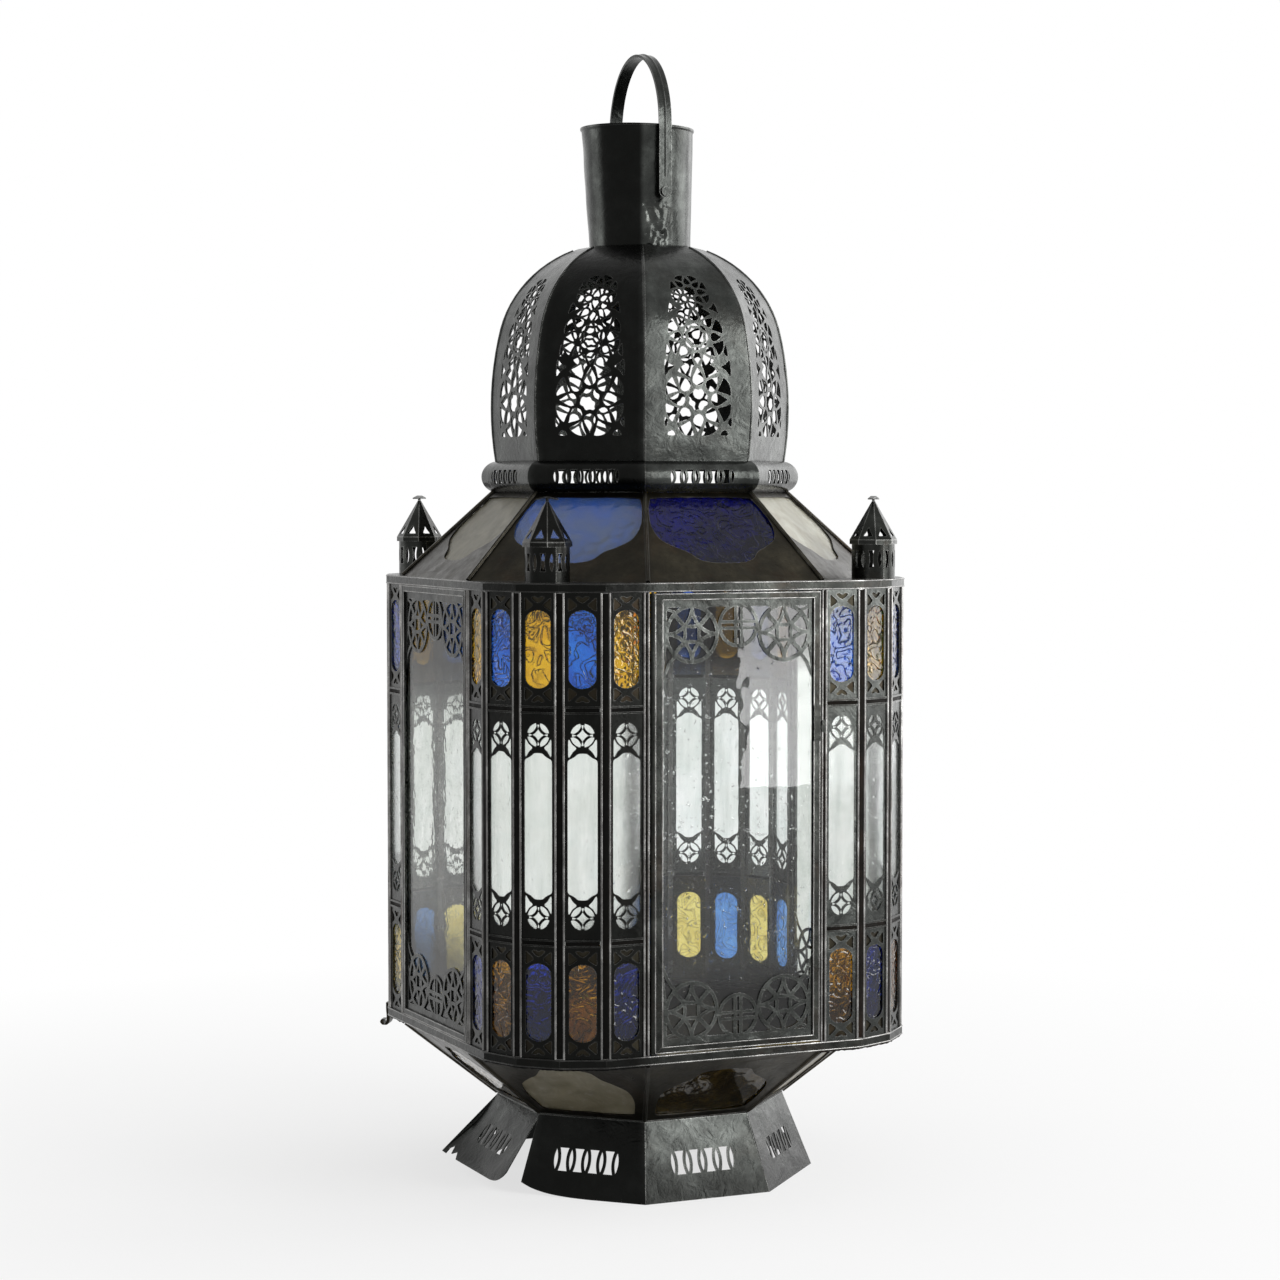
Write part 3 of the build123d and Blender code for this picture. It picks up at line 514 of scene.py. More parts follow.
IRON = iron("iron_patina", (0.0075, 0.0078, 0.0070), (0.050, 0.053, 0.048), 0.3, (0.19, 0.38), wear=0.85)
IRON_GREY = iron("iron_worn_grey", (0.014, 0.0148, 0.0138), (0.084, 0.090, 0.084), 0.10, (0.17, 0.34), 3.1,
                 crinkle=0.26, painted_shade_depth=0.92)
IRON_BROWN = iron("iron_brown", (0.0085, 0.0074, 0.0046), (0.046, 0.040, 0.026), 0.4, seed=5.7, painted_shade_depth=0.3)
# Near-black iron: painted shade in the strip grooves, and the solder under the bays
IRON_DARK = iron("iron_groove", (0.0035, 0.003, 0.0025), (0.01, 0.008, 0.006), 0.3, (0.5, 0.8), 1.9, wear=0)
BRIGHT = {"dark": (0.024, 0.021, 0.019), "light": (0.560, 0.555, 0.540), "rough": (0.17, 0.34), "wear": 0.3,
          "crinkle": 0.1}
# Strips keep more of their painted light on the shaded side; the beads of rails and frames take nearly all
# the painted shade
IRON_STRIP = iron("iron_strip", rust=0.65, seed=8.3, painted_shade_depth=0.4, **BRIGHT)
IRON_EDGE = iron("iron_edge", rust=0.5, seed=6.1, painted_shade_depth=0.9, **BRIGHT)
# The door pane and the left pane carry painted shade over their ends
DOOR_CLEAR = glass("glass_door", (0.93, 0.95, 0.94), (0.84, 0.88, 0.86), 0.01, 1.0, 0.0003, 18, 0.03,
                   specular=0.34, shaded_ends=(0.97, 0.104, 0.124))
PLAIN = {"cloud": 0.05, "specular": 0.3, "ior": 1.3}
LEFT_CLEAR = glass("glass_clear_shaded_ends", (0.80, 0.82, 0.79), (0.66, 0.69, 0.65), 0.02,
                   shaded_ends=(0.9, 0.072, 0.112), **PLAIN)
CLEAR = glass("glass_clear", (0.84, 0.86, 0.83), (0.72, 0.75, 0.71), 0.02, **PLAIN)
FROSTED = glass("glass_frosted", (1.0, 1.0, 1.0), (0.95, 0.975, 0.975), 0.12, 1.0, 0.0008, 26, 0.08,
                specular=0.25, streak=0.38)
TINTED = {"cloud": 0.04, "specular": 0.22, "scroll": 0.75, "wave": 0.0006}
BLUE = glass("glass_blue", (0.018, 0.180, 0.76), (0.008, 0.080, 0.50), 0.04, **TINTED)
COBALT = glass("glass_cobalt", (0.008, 0.055, 0.64), (0.004, 0.018, 0.30), 0.05, **TINTED)
SKY = glass("glass_sky", (0.140, 0.340, 0.72), (0.080, 0.220, 0.58), 0.05, **TINTED)
AMBER = glass("glass_amber", (0.90, 0.54, 0.012), (0.66, 0.33, 0.006), 0.04, **TINTED)
YELLOW = glass("glass_yellow", (0.84, 0.74, 0.27), (0.68, 0.54, 0.13), 0.05, **TINTED)
ORANGE = glass("glass_orange", (0.66, 0.32, 0.010), (0.36, 0.150, 0.005), 0.05, **TINTED)
PALE_BLUE = glass("glass_pale_blue", (0.10, 0.24, 0.66), (0.22, 0.30, 0.46), 0.14, 0.7, cloud=0.25)
ROOF_COBALT = glass("glass_roof_cobalt", (0.003, 0.015, 0.32), (0.0015, 0.007, 0.18), 0.06, scroll=0.25,
                    specular=0.06, ior=1.3)
TAN = glass("glass_tan", (0.34, 0.32, 0.24), (0.20, 0.185, 0.13), 0.40, 0.5, cloud=0.4, specular=0.3)
CREAM = glass("glass_cream", (0.56, 0.56, 0.49), (0.36, 0.34, 0.26), 0.36, 0.55, cloud=0.5, specular=0.3)
OLIVE = glass("glass_olive", (0.36, 0.33, 0.24), (0.20, 0.175, 0.11), 0.35, 0.55, cloud=0.5, specular=0.3)
BROWN_GLASS = glass("glass_brown", (0.20, 0.130, 0.018), (0.070, 0.045, 0.008), 0.08, 0.95, cloud=0.06,
                    specular=0.08, ior=1.35)

# Pierced rows and rosettes
SWEEP = np.linspace(-1, 1, 9)


def pierced_row(count, pitch, height):
    """Holes of a row: hourglasses with hollow sides, and a slim lens beside each."""
    waist, end, lens = 0.36, 0.60, 0.26
    half = pitch / 2 * (waist + (end - waist) * SWEEP**2)
    hourglass = both(np.stack([half, SWEEP * height / 2], 1))
    p = np.stack([pitch / 2 * lens * (1 - SWEEP**2), SWEEP * height * 0.46], 1)
    leaf = np.vstack([p[:-1], (p * [-1, 1])[:0:-1]])
    return ([moved(hourglass, (i - (count - 1) / 2) * pitch, 0) for i in range(count)]
            + [moved(leaf, (i - count / 2) * pitch, 0) for i in range(count + 1)])


def rosette_strokes(cx, cy, r, half=1.2):
    """A ring with four hollow arcs, a curved square in the middle and four short spokes."""
    c = r - half
    m = c * (1 - math.cos(math.pi / 4))
    out = [(circle(cx, cy, c, 44), True, half)]
    for sx, sy, a in ((1, 1, 180), (-1, 1, 270), (-1, -1, 0), (1, -1, 90)):
        out.append((arc(cx + sx * c, cy + sy * c, c, a, a + 90, 14), False, half * 0.95))
        spoke = line((cx + sx * m, cy + sy * m), (cx + sx * c * 0.7071, cy + sy * c * 0.7071))
        out.append((spoke, False, half * 1.15))
    square = [(cx + m, cy + m), (cx - m, cy + m), (cx - m, cy - m), (cx + m, cy - m)]
    for a, b in zip(square, square[1:] + square[:1]):
        x, y = (a[0] + b[0]) / 2, (a[1] + b[1]) / 2
        out.append((smooth([a, (x + (cx - x) * 0.08, y + (cy - y) * 0.08), b], per=4), False, half * 0.95))
    return out


def cross_strokes(cx, cy, r, half=1.05, gap=2.1):
    """A ring crossed by two pairs of bars."""
    out = [(circle(cx, cy, r - half, 36), True, half * 1.1)]
    reach = math.sqrt((r - half) ** 2 - gap**2)
    for s in (-1, 1):
        out.append((line((cx + s * gap, cy - reach), (cx + s * gap, cy + reach)), False, half))
        out.append((line((cx - reach, cy + s * gap), (cx + reach, cy + s * gap)), False, half))
    return out


def side_fret(width):
    """The scalloped sheet at the top of a flat side; v runs down from the sheet's hidden top edge."""
    edge, hidden, band, margin = width / 2, 3.4, 4.6, 3.6
    big, spread, drop, small = 19.3, 33.5, hidden + 22.0, 14.6
    centre = hidden + 16.6
    low, top = drop + big + 14, hidden + band
    inner = edge - hidden - margin
    hole = both([
        (0, low + 1), (edge + 1, low + 1), (edge + 1, low - 1), (edge - hidden, low - 2),
        (edge - hidden - 1.2, low - 7), (inner + 1.2, drop + big - 4), (inner, drop + 6), (inner, top),
        (0, top)])
    lean = math.radians(52)
    strokes = []
    for s in (-1, 1):
        strokes += rosette_strokes(s * spread, drop, big)
        # bracket from the ring down to the frame
        start = (s * (spread + (big - 1) * math.sin(lean) * 0.72), drop + (big - 1) * math.cos(lean) * 1.13)
        bracket = [start, (s * (edge - hidden - 5.5), drop + big - 0.5), (s * (edge - hidden - 1.0), low - 5),
                   (s * (edge - 1), low - 1)]
        strokes.append((smooth(bracket, per=6), False, 1.0))
        # filling arcs towards the corners and between the rings
        for arm in (
                [(spread - 9.5, drop - big + 2), (spread - 15.5, drop - big + 0.5), (spread - 20, top - 1)],
                [(spread + 12.5, drop - 14.6), (spread + 17.0, drop - 16.0), (inner + 1.5, top - 0.5)]):
            strokes.append((smooth([(s * u, v) for u, v in arm], per=5), False, 0.8))
        strokes.append((line((s * (spread + 18.4), drop + 5), (s * (inner + 1.5), drop + 9.5)), False, 0.8))
    strokes += cross_strokes(0, centre, small)
    for s in (-1, 1):
        strokes.append((line((s * 6, centre - small + 2.5), (s * 9.5, top - 1)), False, 0.8))
    return cut_sheet(rect(edge, 0, low), [hole], strokes, grid=grid_points(edge, 0, top, 5.0))


def quatrefoil_holes(cy, r):
    """Four leaves round a hollow-sided star."""
    leaves, star = [], []
    n, gap = 8, 0.85
    for a in (45, 135, 225, 315):
        x, y = (r * math.sqrt(2) * f for f in polar(a))
        outer = arc(0, 0, r, a - 34, a + 34, n)
        inner = arc(x, y, r - gap, a + 180 + 31, a + 180 - 31, n)
        if np.linalg.norm(outer[-1] - inner[0]) > np.linalg.norm(outer[-1] - inner[-1]):
            inner = inner[::-1]
        leaves.append(moved(np.vstack([outer, inner]), 0, cy))
        star.append(arc(x, y, r + gap, a + 180 + 38, a + 180 - 38, n))
    return leaves + [moved(np.vstack(star), 0, cy)]


def middle_plate(width, height):
    w, h = 9.6, 47.2
    low_end = [(0, 0), (2.8, 0.3), (4.6, 1.7), (6.6, 3.0), (w - 0.5, 4.4), (w, 6.6)]
    half = smooth([(u, v - h) for u, v in low_end], per=3)
    holes = [both(np.vstack([half, half[::-1] * [1, -1]]))]
    tri = loop([(8.9, 9.0), (9.2, 3.5), (8.9, -2.6), (6.2, 1.0), (4.0, 3.4), (6.6, 5.8)])
    for s in (-1, 1):
        holes += [(q + [0, h]) * [1, s] for q in quatrefoil_holes(11.6, 7.7) + [tri * [-1, 1], tri]]
    return cut_sheet(rect(width / 2, -height / 2, height / 2), holes)


def end_window():
    """A tall window with flattened round ends."""
    w, h, squash = 8.75, 25.0, 0.8
    cap = arc(0, 0, w, 0, 90, 8) * [1, squash] + [0, h - w * squash]
    return both(np.vstack([(cap * [1, -1])[::-1], cap]))


def end_plate(width, low, high, centre):
    above = 25.0 - 1.6
    side = loop([(8.8, 9.4), (9.0, 5.5), (8.8, 1.4), (5.6, 3.0), (3.6, 4.9), (5.8, 7.2)])
    cup = loop([(-4.4, 9.6), (0, 6.3), (4.4, 9.6), (2.2, 10.4), (0, 9.4), (-2.2, 10.4)])
    holes = [end_window()]
    for s in (-1, 1):
        holes += [(q + [0, above]) * [1, s] for q in (side * [-1, 1], side, cup)]
    return cut_sheet(rect(width / 2, low, high), [moved(q, 0, centre) for q in holes])


# Foot
SEAM, SEAM_BEAD, GORE_BEAD = 0.1, 1.5, 0.8
foot_low, foot_high = (ap(FOOT_R), 0.0), (ap(WAIST_R), Z_WAIST)
foot_slope = math.dist(foot_low, foot_high)
foot_place = slope(foot_low, foot_high)
t0, t1 = FOOT_R * math.sin(HALF) - SEAM, WAIST_R * math.sin(HALF) - SEAM
foot_holes = [moved(h, 0, foot_slope * 0.47) for h in pierced_row(4, 10.9, 15.5)]
tear = [(-0.60, -1), (-0.72, 5.5), (-0.80, 2.0), (-0.87, 8.5), (-0.93, 5.0), (-0.90, -1)]
tear = line(*[(u * t0, v) for u, v in tear])
rounded = [(0.60 * t0, 0.0), (0.78 * t0, 1.2), (0.92 * t0, 5.0), (t0 - 1.0, 12.0), (t0 - 2.2, 20.0)]
rounded = smooth(rounded, per=4)
rounded = np.vstack([rounded, [(t0 + 3, 20.0), (t0 + 3, -2), (0.60 * t0, -2)]])
worn = [(-t0 - 1, 9.0), (-0.80 * t0, 4.6), (-0.52 * t0, 1.8), (-0.2 * t0, 0.5), (0.1 * t0, 0.0)]
worn = np.vstack([smooth(worn, per=4), [(0.1 * t0, -2), (-t0 - 1, -2)]])
foot_tri, torn_tri, worn_tri = (
    cut_sheet(trapezoid(t0, t1, foot_slope), foot_holes + damage, grid=grid_points(t0, 0, foot_slope, 5.0))
    for damage in ([], [tear, rounded], [worn]))


def bent_place(uv):
    """The split panel, swung outward about its top edge and curled a little at its free edge."""
    p, n = foot_place(uv)
    far = np.clip(-uv[:, 0] / t0, 0, 1) * (1 - uv[:, 1] / foot_slope)
    angle = np.radians(-BENT_ANGLE - FREE_EDGE_CURL * far**1.5)
    c, s = np.cos(angle), np.sin(angle)
    y, z = p[:, 1] + foot_high[0], p[:, 2] - foot_high[1]
    q = np.stack([p[:, 0], y * c - z * s - foot_high[0], y * s + z * c + foot_high[1]], 1)
    return q, np.stack([n[:, 0], n[:, 1] * c - n[:, 2] * s, n[:, 1] * s + n[:, 2] * c], 1)


foot = Build()
for i in range(SIDES):
    if i == BENT_SIDE:
        foot.sheet(torn_tri, bent_place, turn=i * SECTOR, dent=(0.5, 22, i))
    else:
        tri = worn_tri if i == BENT_SIDE + 1 else foot_tri
        foot.sheet(tri, foot_place, turn=i * SECTOR, dent=(0.35, 20, i))
foot.make("foot_sheets", IRON_GREY, replaces=["foot_panels"])


# Funnel and roof
def panel_tri(low, high, window):
    length = math.dist(low, high)
    a, b = low[0] * math.tan(HALF) - SEAM, high[0] * math.tan(HALF) - SEAM
    return cut_sheet(trapezoid(a, b, length), [window], grid=grid_points(max(a, b), 0, length, 6.0))


def panel_window(shares, length):
    """A shield outline, its half given as shares of half the body's side and of the panel's slope."""
    wide = APOTHEM * math.tan(HALF)
    return both(smooth([(u * wide, v * length) for u, v in shares]))


def pressed(pitch, depth):
    """Relief of pressed glass: overlapping rings on a staggered lattice."""
    def relief(uv):
        best = np.zeros(len(uv))
        for du in (0.0, 0.5):
            cell = (uv / pitch + [du, du]) % 1.0 - 0.5
            d = np.hypot(cell[:, 0], cell[:, 1]) * 2
            best = np.maximum(best, np.exp(-((d - 0.72) / 0.13) ** 2))
            best = np.maximum(best, 0.8 * np.exp(-((d - 0.25) / 0.12) ** 2))
        return depth * (best - 1.0)
    return relief


def corner_path(side, points):
    """Points (distance of the corner, height) set on the corner after a side, and the direction across it."""
    a = math.radians(-90 + SECTOR * side + SECTOR / 2)
    return [(r * math.cos(a), r * math.sin(a), z) for r, z in points], (-math.sin(a), math.cos(a), 0)


funnel_low, funnel_high = (ap(WAIST_R), Z_FUNNEL), (APOTHEM, Z_BODY)
roof_low, roof_high = (APOTHEM, Z_EAVES), (ap(ROOF_TOP_R), Z_RING)
roof_window = panel_window(
    [(0, 0.205), (0.16, 0.212), (0.30, 0.245), (0.40, 0.33), (0.52, 0.385), (0.655, 0.47), (0.70, 0.62),
     (0.66, 0.78), (0.60, 0.90), (0.55, 0.935), (0.30, 0.945), (0, 0.945)], math.dist(roof_low, roof_high))
funnel_window = panel_window(
    [(0, 0.07), (0.30, 0.07), (0.50, 0.09), (0.55, 0.16), (0.61, 0.34), (0.60, 0.50), (0.48, 0.61),
     (0.37, 0.68), (0.28, 0.78), (0.15, 0.81), (0, 0.815)], math.dist(funnel_low, funnel_high))
roof_tri = panel_tri(roof_low, roof_high, roof_window)
funnel_tri = panel_tri(funnel_low, funnel_high, funnel_window)
roof_place, funnel_place = slope(roof_low, roof_high), slope(funnel_low, funnel_high)
roof, funnel = Build(), Build()
for i in range(SIDES):
    roof.sheet(roof_tri, roof_place, turn=i * SECTOR, dent=(0.22, 18, 20 + i))
    funnel.sheet(funnel_tri, funnel_place, turn=i * SECTOR, dent=(0.22, 18, 40 + i))
    for build, (r0, z0), (r1, z1) in ((roof, (BODY_R, Z_EAVES + 0.6), (ROOF_TOP_R, Z_RING + 0.4)),
                                      (funnel, (WAIST_R, Z_FUNNEL + 0.5), (BODY_R - 1, Z_BODY - 0.6))):
        seam = [(r0 + (r1 - r0) * t, z0 + (z1 - z0) * t) for t in np.linspace(0.0, 1.0, 9)]
        path, across = corner_path(i, seam)
        build.tube(path, SEAM_BEAD, ref=across)
# both are cut flat where they meet the rails
for v in roof.v:
    v[:, 2] = np.maximum(v[:, 2], Z_EAVES)
for v in funnel.v:
    v[:, 2] = np.minimum(v[:, 2], Z_BODY)
roof.make("roof_sheets", IRON_BROWN, replaces=["roof_panels"])
funnel.make("funnel_sheets", IRON_BROWN, replaces=["funnel_panels"])

PANE_LAP, PANE_PLAY, PRESSED_DEPTH = 2.2, 0.2, 0.35
roof_pane, funnel_pane = (cut_sheet(offset(window, -PANE_LAP, True), grid=grid_points(48, 0, 82, 2.4))
                          for window in (roof_window, funnel_window))
for name, sides, material, slot, node, pitch in (
        ("roof_cobalt_glass", [0, 3], ROOF_COBALT, "blue_glass", "roof_blue_panes", 11.0),
        ("roof_pale_blue_glass", [4, 7], PALE_BLUE, "blue_glass", "roof_blue_panes", 30.0),
        ("roof_tan_glass", [5, 6], TAN, "tan_glass", "roof_clear_panes", 26.0),
        ("roof_cream_glass", [1, 2], CREAM, "tan_glass", "roof_clear_panes", 26.0),
        ("funnel_amber_glass", [0, 2, 4, 6], BROWN_GLASS, "amber_glass", "funnel_amber_panes", 26.0),
        ("funnel_olive_glass", [1, 3, 5, 7], OLIVE, "tan_glass", "funnel_clear_panes", 26.0)):
    tri, place = (roof_pane, roof_place) if name.startswith("roof") else (funnel_pane, funnel_place)
    build = Build()
    for i in sides:
        build.sheet(tri, place, GLASS - PANE_PLAY, i * SECTOR, -SHEET - SEAT - PANE_PLAY,
                    relief=pressed(pitch, PRESSED_DEPTH))
    build.make(name, material, slot=slot, replaces=[node], angle=60)

# Bays
MITRE = SECTOR / 4
corners = [(-SIDE_W / 2, -APOTHEM)]
for t in TURNS:
    c, s = polar(t)
    corners.append((corners[-1][0] + FACET_W * c, corners[-1][1] + FACET_W * s))


def facet_place(i):
    x, y = (corners[i][0] + corners[i + 1][0]) / 2, (corners[i][1] + corners[i + 1][1]) / 2
    return flat((x, y, Z_BODY), (*polar(TURNS[i]), 0), (0, 0, 1))


def came_point(corner, turn, along, out):
    c, s = polar(turn)
    return corner[0] + along * c + out * s, corner[1] + along * s - out * c


def came_bend(corner, turn, out):
    """The mitre at a corner between the facet at this turn and the next one."""
    c, s = polar(turn + MITRE)
    reach = out / polar(MITRE)[0]
    return corner[0] + reach * s, corner[1] - reach * c


# Strip section: two raised beads with a sunk band between them, a web, and a back flange; a near-black strip
# laid in the sunk band is painted shade in the groove
LIP_R, LIP_AT, LIP_BASE, BAND, STRIP_BACK = 0.8, 2.7, 0.4, 0.22, -CAME_DEPTH - CAME_BACK
BEAD = [(LIP_R * c, LIP_BASE + LIP_R * s) for c, s in (polar(a) for a in range(180, -1, -30))]
LIPS = ([(LIP_AT - LIP_R, BAND)] + [(LIP_AT + a, o) for a, o in BEAD]
        + [(3.5, 0.02), (1.2, 0.02), (1.2, -CAME_DEPTH), (2.5, -CAME_DEPTH), (2.5, STRIP_BACK)])
BAND_EDGE, BAND_LOW, BAND_TOP = LIP_AT - LIP_R + 0.1, 0.1, BAND + 0.15
came_low, came_high = Z_BODY + RAIL_H + SEAT, Z_EAVES - RAIL_H - SEAT
band_low, band_high = came_low + 0.3, came_high - 0.3
plate_w = FACET_W - 2.4 - 2 * SEAT
tier_edge, low_edge = 1.2 + SEAT, 1.1
tiers = [(low_edge, LEVELS[0] - tier_edge), (LEVELS[0] + tier_edge, LEVELS[1] - tier_edge),
         (LEVELS[1] + tier_edge, BODY_H - low_edge)]
end_mid = (RAIL_H + LEVELS[0] - 2.5) / 2
end_tiers = [(*tiers[0], end_mid), (*tiers[2], BODY_H - end_mid)]
mid_uv, mid_f = middle_plate(plate_w, tiers[1][1] - tiers[1][0])
low_tri, top_tri = (end_plate(plate_w, *tier) for tier in end_tiers)
tier_tris = [low_tri, (mid_uv + [0, BODY_H / 2], mid_f), top_tri]


def pane_tri(low, high, centre):
    return cut_sheet(rect(plate_w / 2, low, high), grid=grid_points(9.8, centre - 27, centre + 27, 1.5))


def backing_tri(low, high, centre):
    """A tin shim behind an end plate, open only behind its window."""
    window = moved(end_window(), 0, centre) * [1.03, 1]
    return cut_sheet(rect(plate_w / 2 - 0.4, low + 0.4, high - 0.4), [window])


low_pane, top_pane = (pane_tri(*tier) for tier in end_tiers)
backing_tris = [backing_tri(*tier) for tier in end_tiers]
cross_half = FACET_W / 2 - LIP_AT - LIP_R - SEAT
SHIM, SHIM_GAP = 0.08, 0.03
BAY_PANE, BAY_PANE_BACK, SCROLL_PITCH, SCROLL_DEPTH = GLASS - 0.1, 1.05, 9.0, 0.25
for k, angle in enumerate(BAY_ANGLES):
    bay = f"bay_{k + 1}"
    plates, strips, across, bands, backing = (Build() for _ in range(5))
    for i in range(5):
        place = facet_place(i)
        for tri in tier_tris:
            plates.sheet(tri, place, SHEET, angle, -SEAT)
        for tri in backing_tris:
            backing.sheet(tri, place, SHIM, angle, -SEAT - SHEET - SHIM_GAP)
        for level in LEVELS:
            # Each cross strip has two raised edges and a sunk middle band in near-black iron, painted shade
            # in the groove
            for a, b, front in ((-2.5, -1.3, 1.0), (-1.3, 1.3, 0.3), (1.3, 2.5, 1.0)):
                build = across if front == 1.0 else bands
                build.sheet(cut_sheet(rect(cross_half, level + a, level + b)), place, front, angle, front)
    for here, after, corner in zip(TURNS, TURNS[1:], corners[1:]):
        right = [came_point(corner, after, a, o) for a, o in LIPS]
        left = [came_point(corner, here, -a, o) for a, o in reversed(LIPS)]
        outline = [came_bend(corner, here, BAND)] + right + [came_bend(corner, here, STRIP_BACK)] + left
        strips.prism(outline[::-1], came_low, came_high, angle)
        right = [came_point(corner, after, BAND_EDGE, o) for o in (BAND_TOP, BAND_LOW)]
        left = [came_point(corner, here, -BAND_EDGE, o) for o in (BAND_LOW, BAND_TOP)]
        outline = [came_bend(corner, here, BAND_TOP)] + right + [came_bend(corner, here, BAND_LOW)] + left
        bands.prism(outline[::-1], band_low, band_high, angle)
    # Painted light: the lit front-right bay's plates take the lighter grey iron, the other bays the darker
    plates.make(f"{bay}_pierced_plates", IRON_GREY if k == 0 else IRON, replaces=[f"{bay}_plates"])
    strips.make(f"{bay}_strips", IRON_STRIP, replaces=[f"{bay}_cames"])
    across.make(f"{bay}_cross_strips", IRON, replaces=[f"{bay}_cames"])
    # Painted shade: near-black strips in the grooves
    bands.make(f"{bay}_strip_bands", IRON_DARK)
    backing.make(f"{bay}_backing", IRON_BROWN)
    low_glass = (YELLOW, SKY) if k in (1, 2) else (ORANGE, COBALT)
    for tier, tri, glasses in (("low", low_pane, low_glass), ("top", top_pane, (AMBER, BLUE))):
        for colour, material in zip(("amber", "blue"), glasses):
            build = Build()
            for i in range(5):
                top_amber = (i % 2 == 0) == (k % 2 == 1)
                if (colour == "amber") == (top_amber == (tier == "top")):
                    build.sheet(tri, facet_place(i), BAY_PANE, angle, -BAY_PANE_BACK,
                                relief=pressed(SCROLL_PITCH, SCROLL_DEPTH))
            build.make(f"{bay}_{colour}_glass_{tier}", material, slot=f"{colour}_glass",
                       replaces=[f"{bay}_{colour}_panes"], angle=60)

posts, post_bands = Build(), Build()
post_outline = LIPS + [(-1.0, STRIP_BACK)] + [(LIP_R - 1.0 + a, o) for a, o in BEAD + [(LIP_R, BAND)]]
post_in = 2 * LIP_R - 1.1
post_band = [(post_in, BAND_LOW), (post_in, BAND_TOP), (BAND_EDGE, BAND_TOP), (BAND_EDGE, BAND_LOW)]
for angle in BAY_ANGLES:
    for flip in (1, -1):
        for build, section, low, high in ((posts, post_outline, came_low, came_high),
                                          (post_bands, post_band, band_low, band_high)):
            plan = [(x * flip, y) for x, y in (came_point(corners[0], TURNS[0], a, o) for a, o in section)]
            build.prism(plan[::-flip], low, high, angle)
posts.make("post_strips", IRON_STRIP, replaces=["corner_posts"])
# Painted shade: near-black strips in the grooves of the posts
post_bands.make("post_strip_bands", IRON_DARK)

# Ragged solder under the edge of each bay, and a strap end that hangs bent from the back-left bay
solder = Build()
for k, angle in enumerate(BAY_ANGLES):
    path, radii = [], []
    for a, b in zip(corners[:-1], corners[1:]):
        for t in np.arange(0, 1, 0.05):
            x, y = a[0] + (b[0] - a[0]) * t, a[1] + (b[1] - a[1]) * t
            q = Vector((x * 0.35, y * 0.35, k * 9.7))
            path.append((x * 0.999, y * 0.999, Z_BODY - 0.5 + 0.4 * noise.noise(q)))
            radii.append(0.8 + 0.55 * noise.noise(q * 2.1))
    solder.tube(path, np.array(radii), sides=7, turn=angle)
solder.make("bay_solder", IRON_DARK, angle=60)
STRAP_THICK, STRAP_HALF, STRAP_TAPER = 2.4, 6.6, 3.4
along = -np.array(polar(MITRE))
out = np.array([-along[1], along[0]])
curl = [(0.4, 5.0), (0.5, 0.0), (0.3, -5.0), (1.0, -9.6), (3.4, -11.6), (5.6, -9.6), (4.6, -7.6)]
curl = smooth(curl, per=5)
n = len(curl)
strip = []
for shift in (0.0, STRAP_THICK):
    for side in (-1, 1):
        for i, (o, z) in enumerate(curl):
            half = STRAP_HALF - STRAP_TAPER * i / n
            strip.append((*(np.array(corners[3]) + out * (o + shift) + along * side * half), Z_BODY + z))
faces = [(a + i, a + i + 1, b + i + 1, b + i) for i in range(n - 1)
         for a, b in ((0, n), (n, 3 * n), (3 * n, 2 * n), (2 * n, 0))]
faces += [(0, n, 3 * n, 2 * n), (n - 1, 3 * n - 1, 4 * n - 1, 2 * n - 1)]
hook = Build()
hook.add(np.array(strip), faces, BAY_ANGLES[2])
hook.make("bent_strap_end", IRON_BROWN, angle=60)

# Flat sides
FRET_LAP = 1.3
EDGE_OUT, EDGE_STEP, EDGE_R, RAIL_EDGE_R = CAME_PROUD - 0.1, 4.0, 0.45, 0.5
CATCH_LOW, CATCH_HIGH = 308, 332
side_place = flat((0, -APOTHEM, Z_BODY), (1, 0, 0), (0, 0, 1))
frame_size = (SIDE_W - 2 - 2 * SEAT, came_high - came_low, 0.0)
door_size = (SIDE_W - 2 - 1.6 - 3.3, came_high - came_low + 2 * SEAT - 1.6, 1.65)
# The beads of each frame: (left, right, low, high) of its outer and its inner edge
frame_edges = ((-61.4, 61.4, 108.7, 407.3), (-57.9, 57.9, 112.3, 403.7))
door_edges = ((-58.4, 60.7, 109.4, 406.6), (-53.2, 56.5, 113.0, 403.0))
FLAT_SIDES = [("door", 0), ("right_side", 90), ("back_side", 180), ("left_side", 270)]
for name, angle in FLAT_SIDES:
    is_door = name == "door"
    width, height, shift = door_size if is_door else frame_size
    uv, f = side_fret(width - 2 * FRET_LAP)
    build = Build()
    for sign in (1, -1):
        v = BODY_H / 2 + sign * (height / 2 - FRET_LAP - uv[:, 1])
        tri = np.stack([uv[:, 0] + shift, v], 1), f
        build.sheet(tri, side_place, SHEET, angle, -SEAT, dent=(0.15, 10, 90 + angle + sign))
    build.make(f"{name}_fretwork", IRON_GREY if is_door else IRON, body="door" if is_door else "lantern",
               replaces=[f"{name}_fret"])


def edge_bead(build, points, radius, seed, turn=0.0, ref=(0, 0, 1.0)):
    """A thin uneven bead along straight runs between points."""
    path = []
    for a, b in zip(points[:-1], points[1:]):
        count = max(1, int(math.dist(a, b) / EDGE_STEP))
        path += [np.array(a) + (np.array(b) - np.array(a)) * i / count for i in range(count)]
    path.append(np.array(points[-1]))
    radii = [radius * (1 + 0.25 * noise.noise(Vector(p * 0.3) + Vector((seed, 0, 0)))) for p in path]
    build.tube(path, np.array(radii), sides=6, turn=turn, ref=ref)


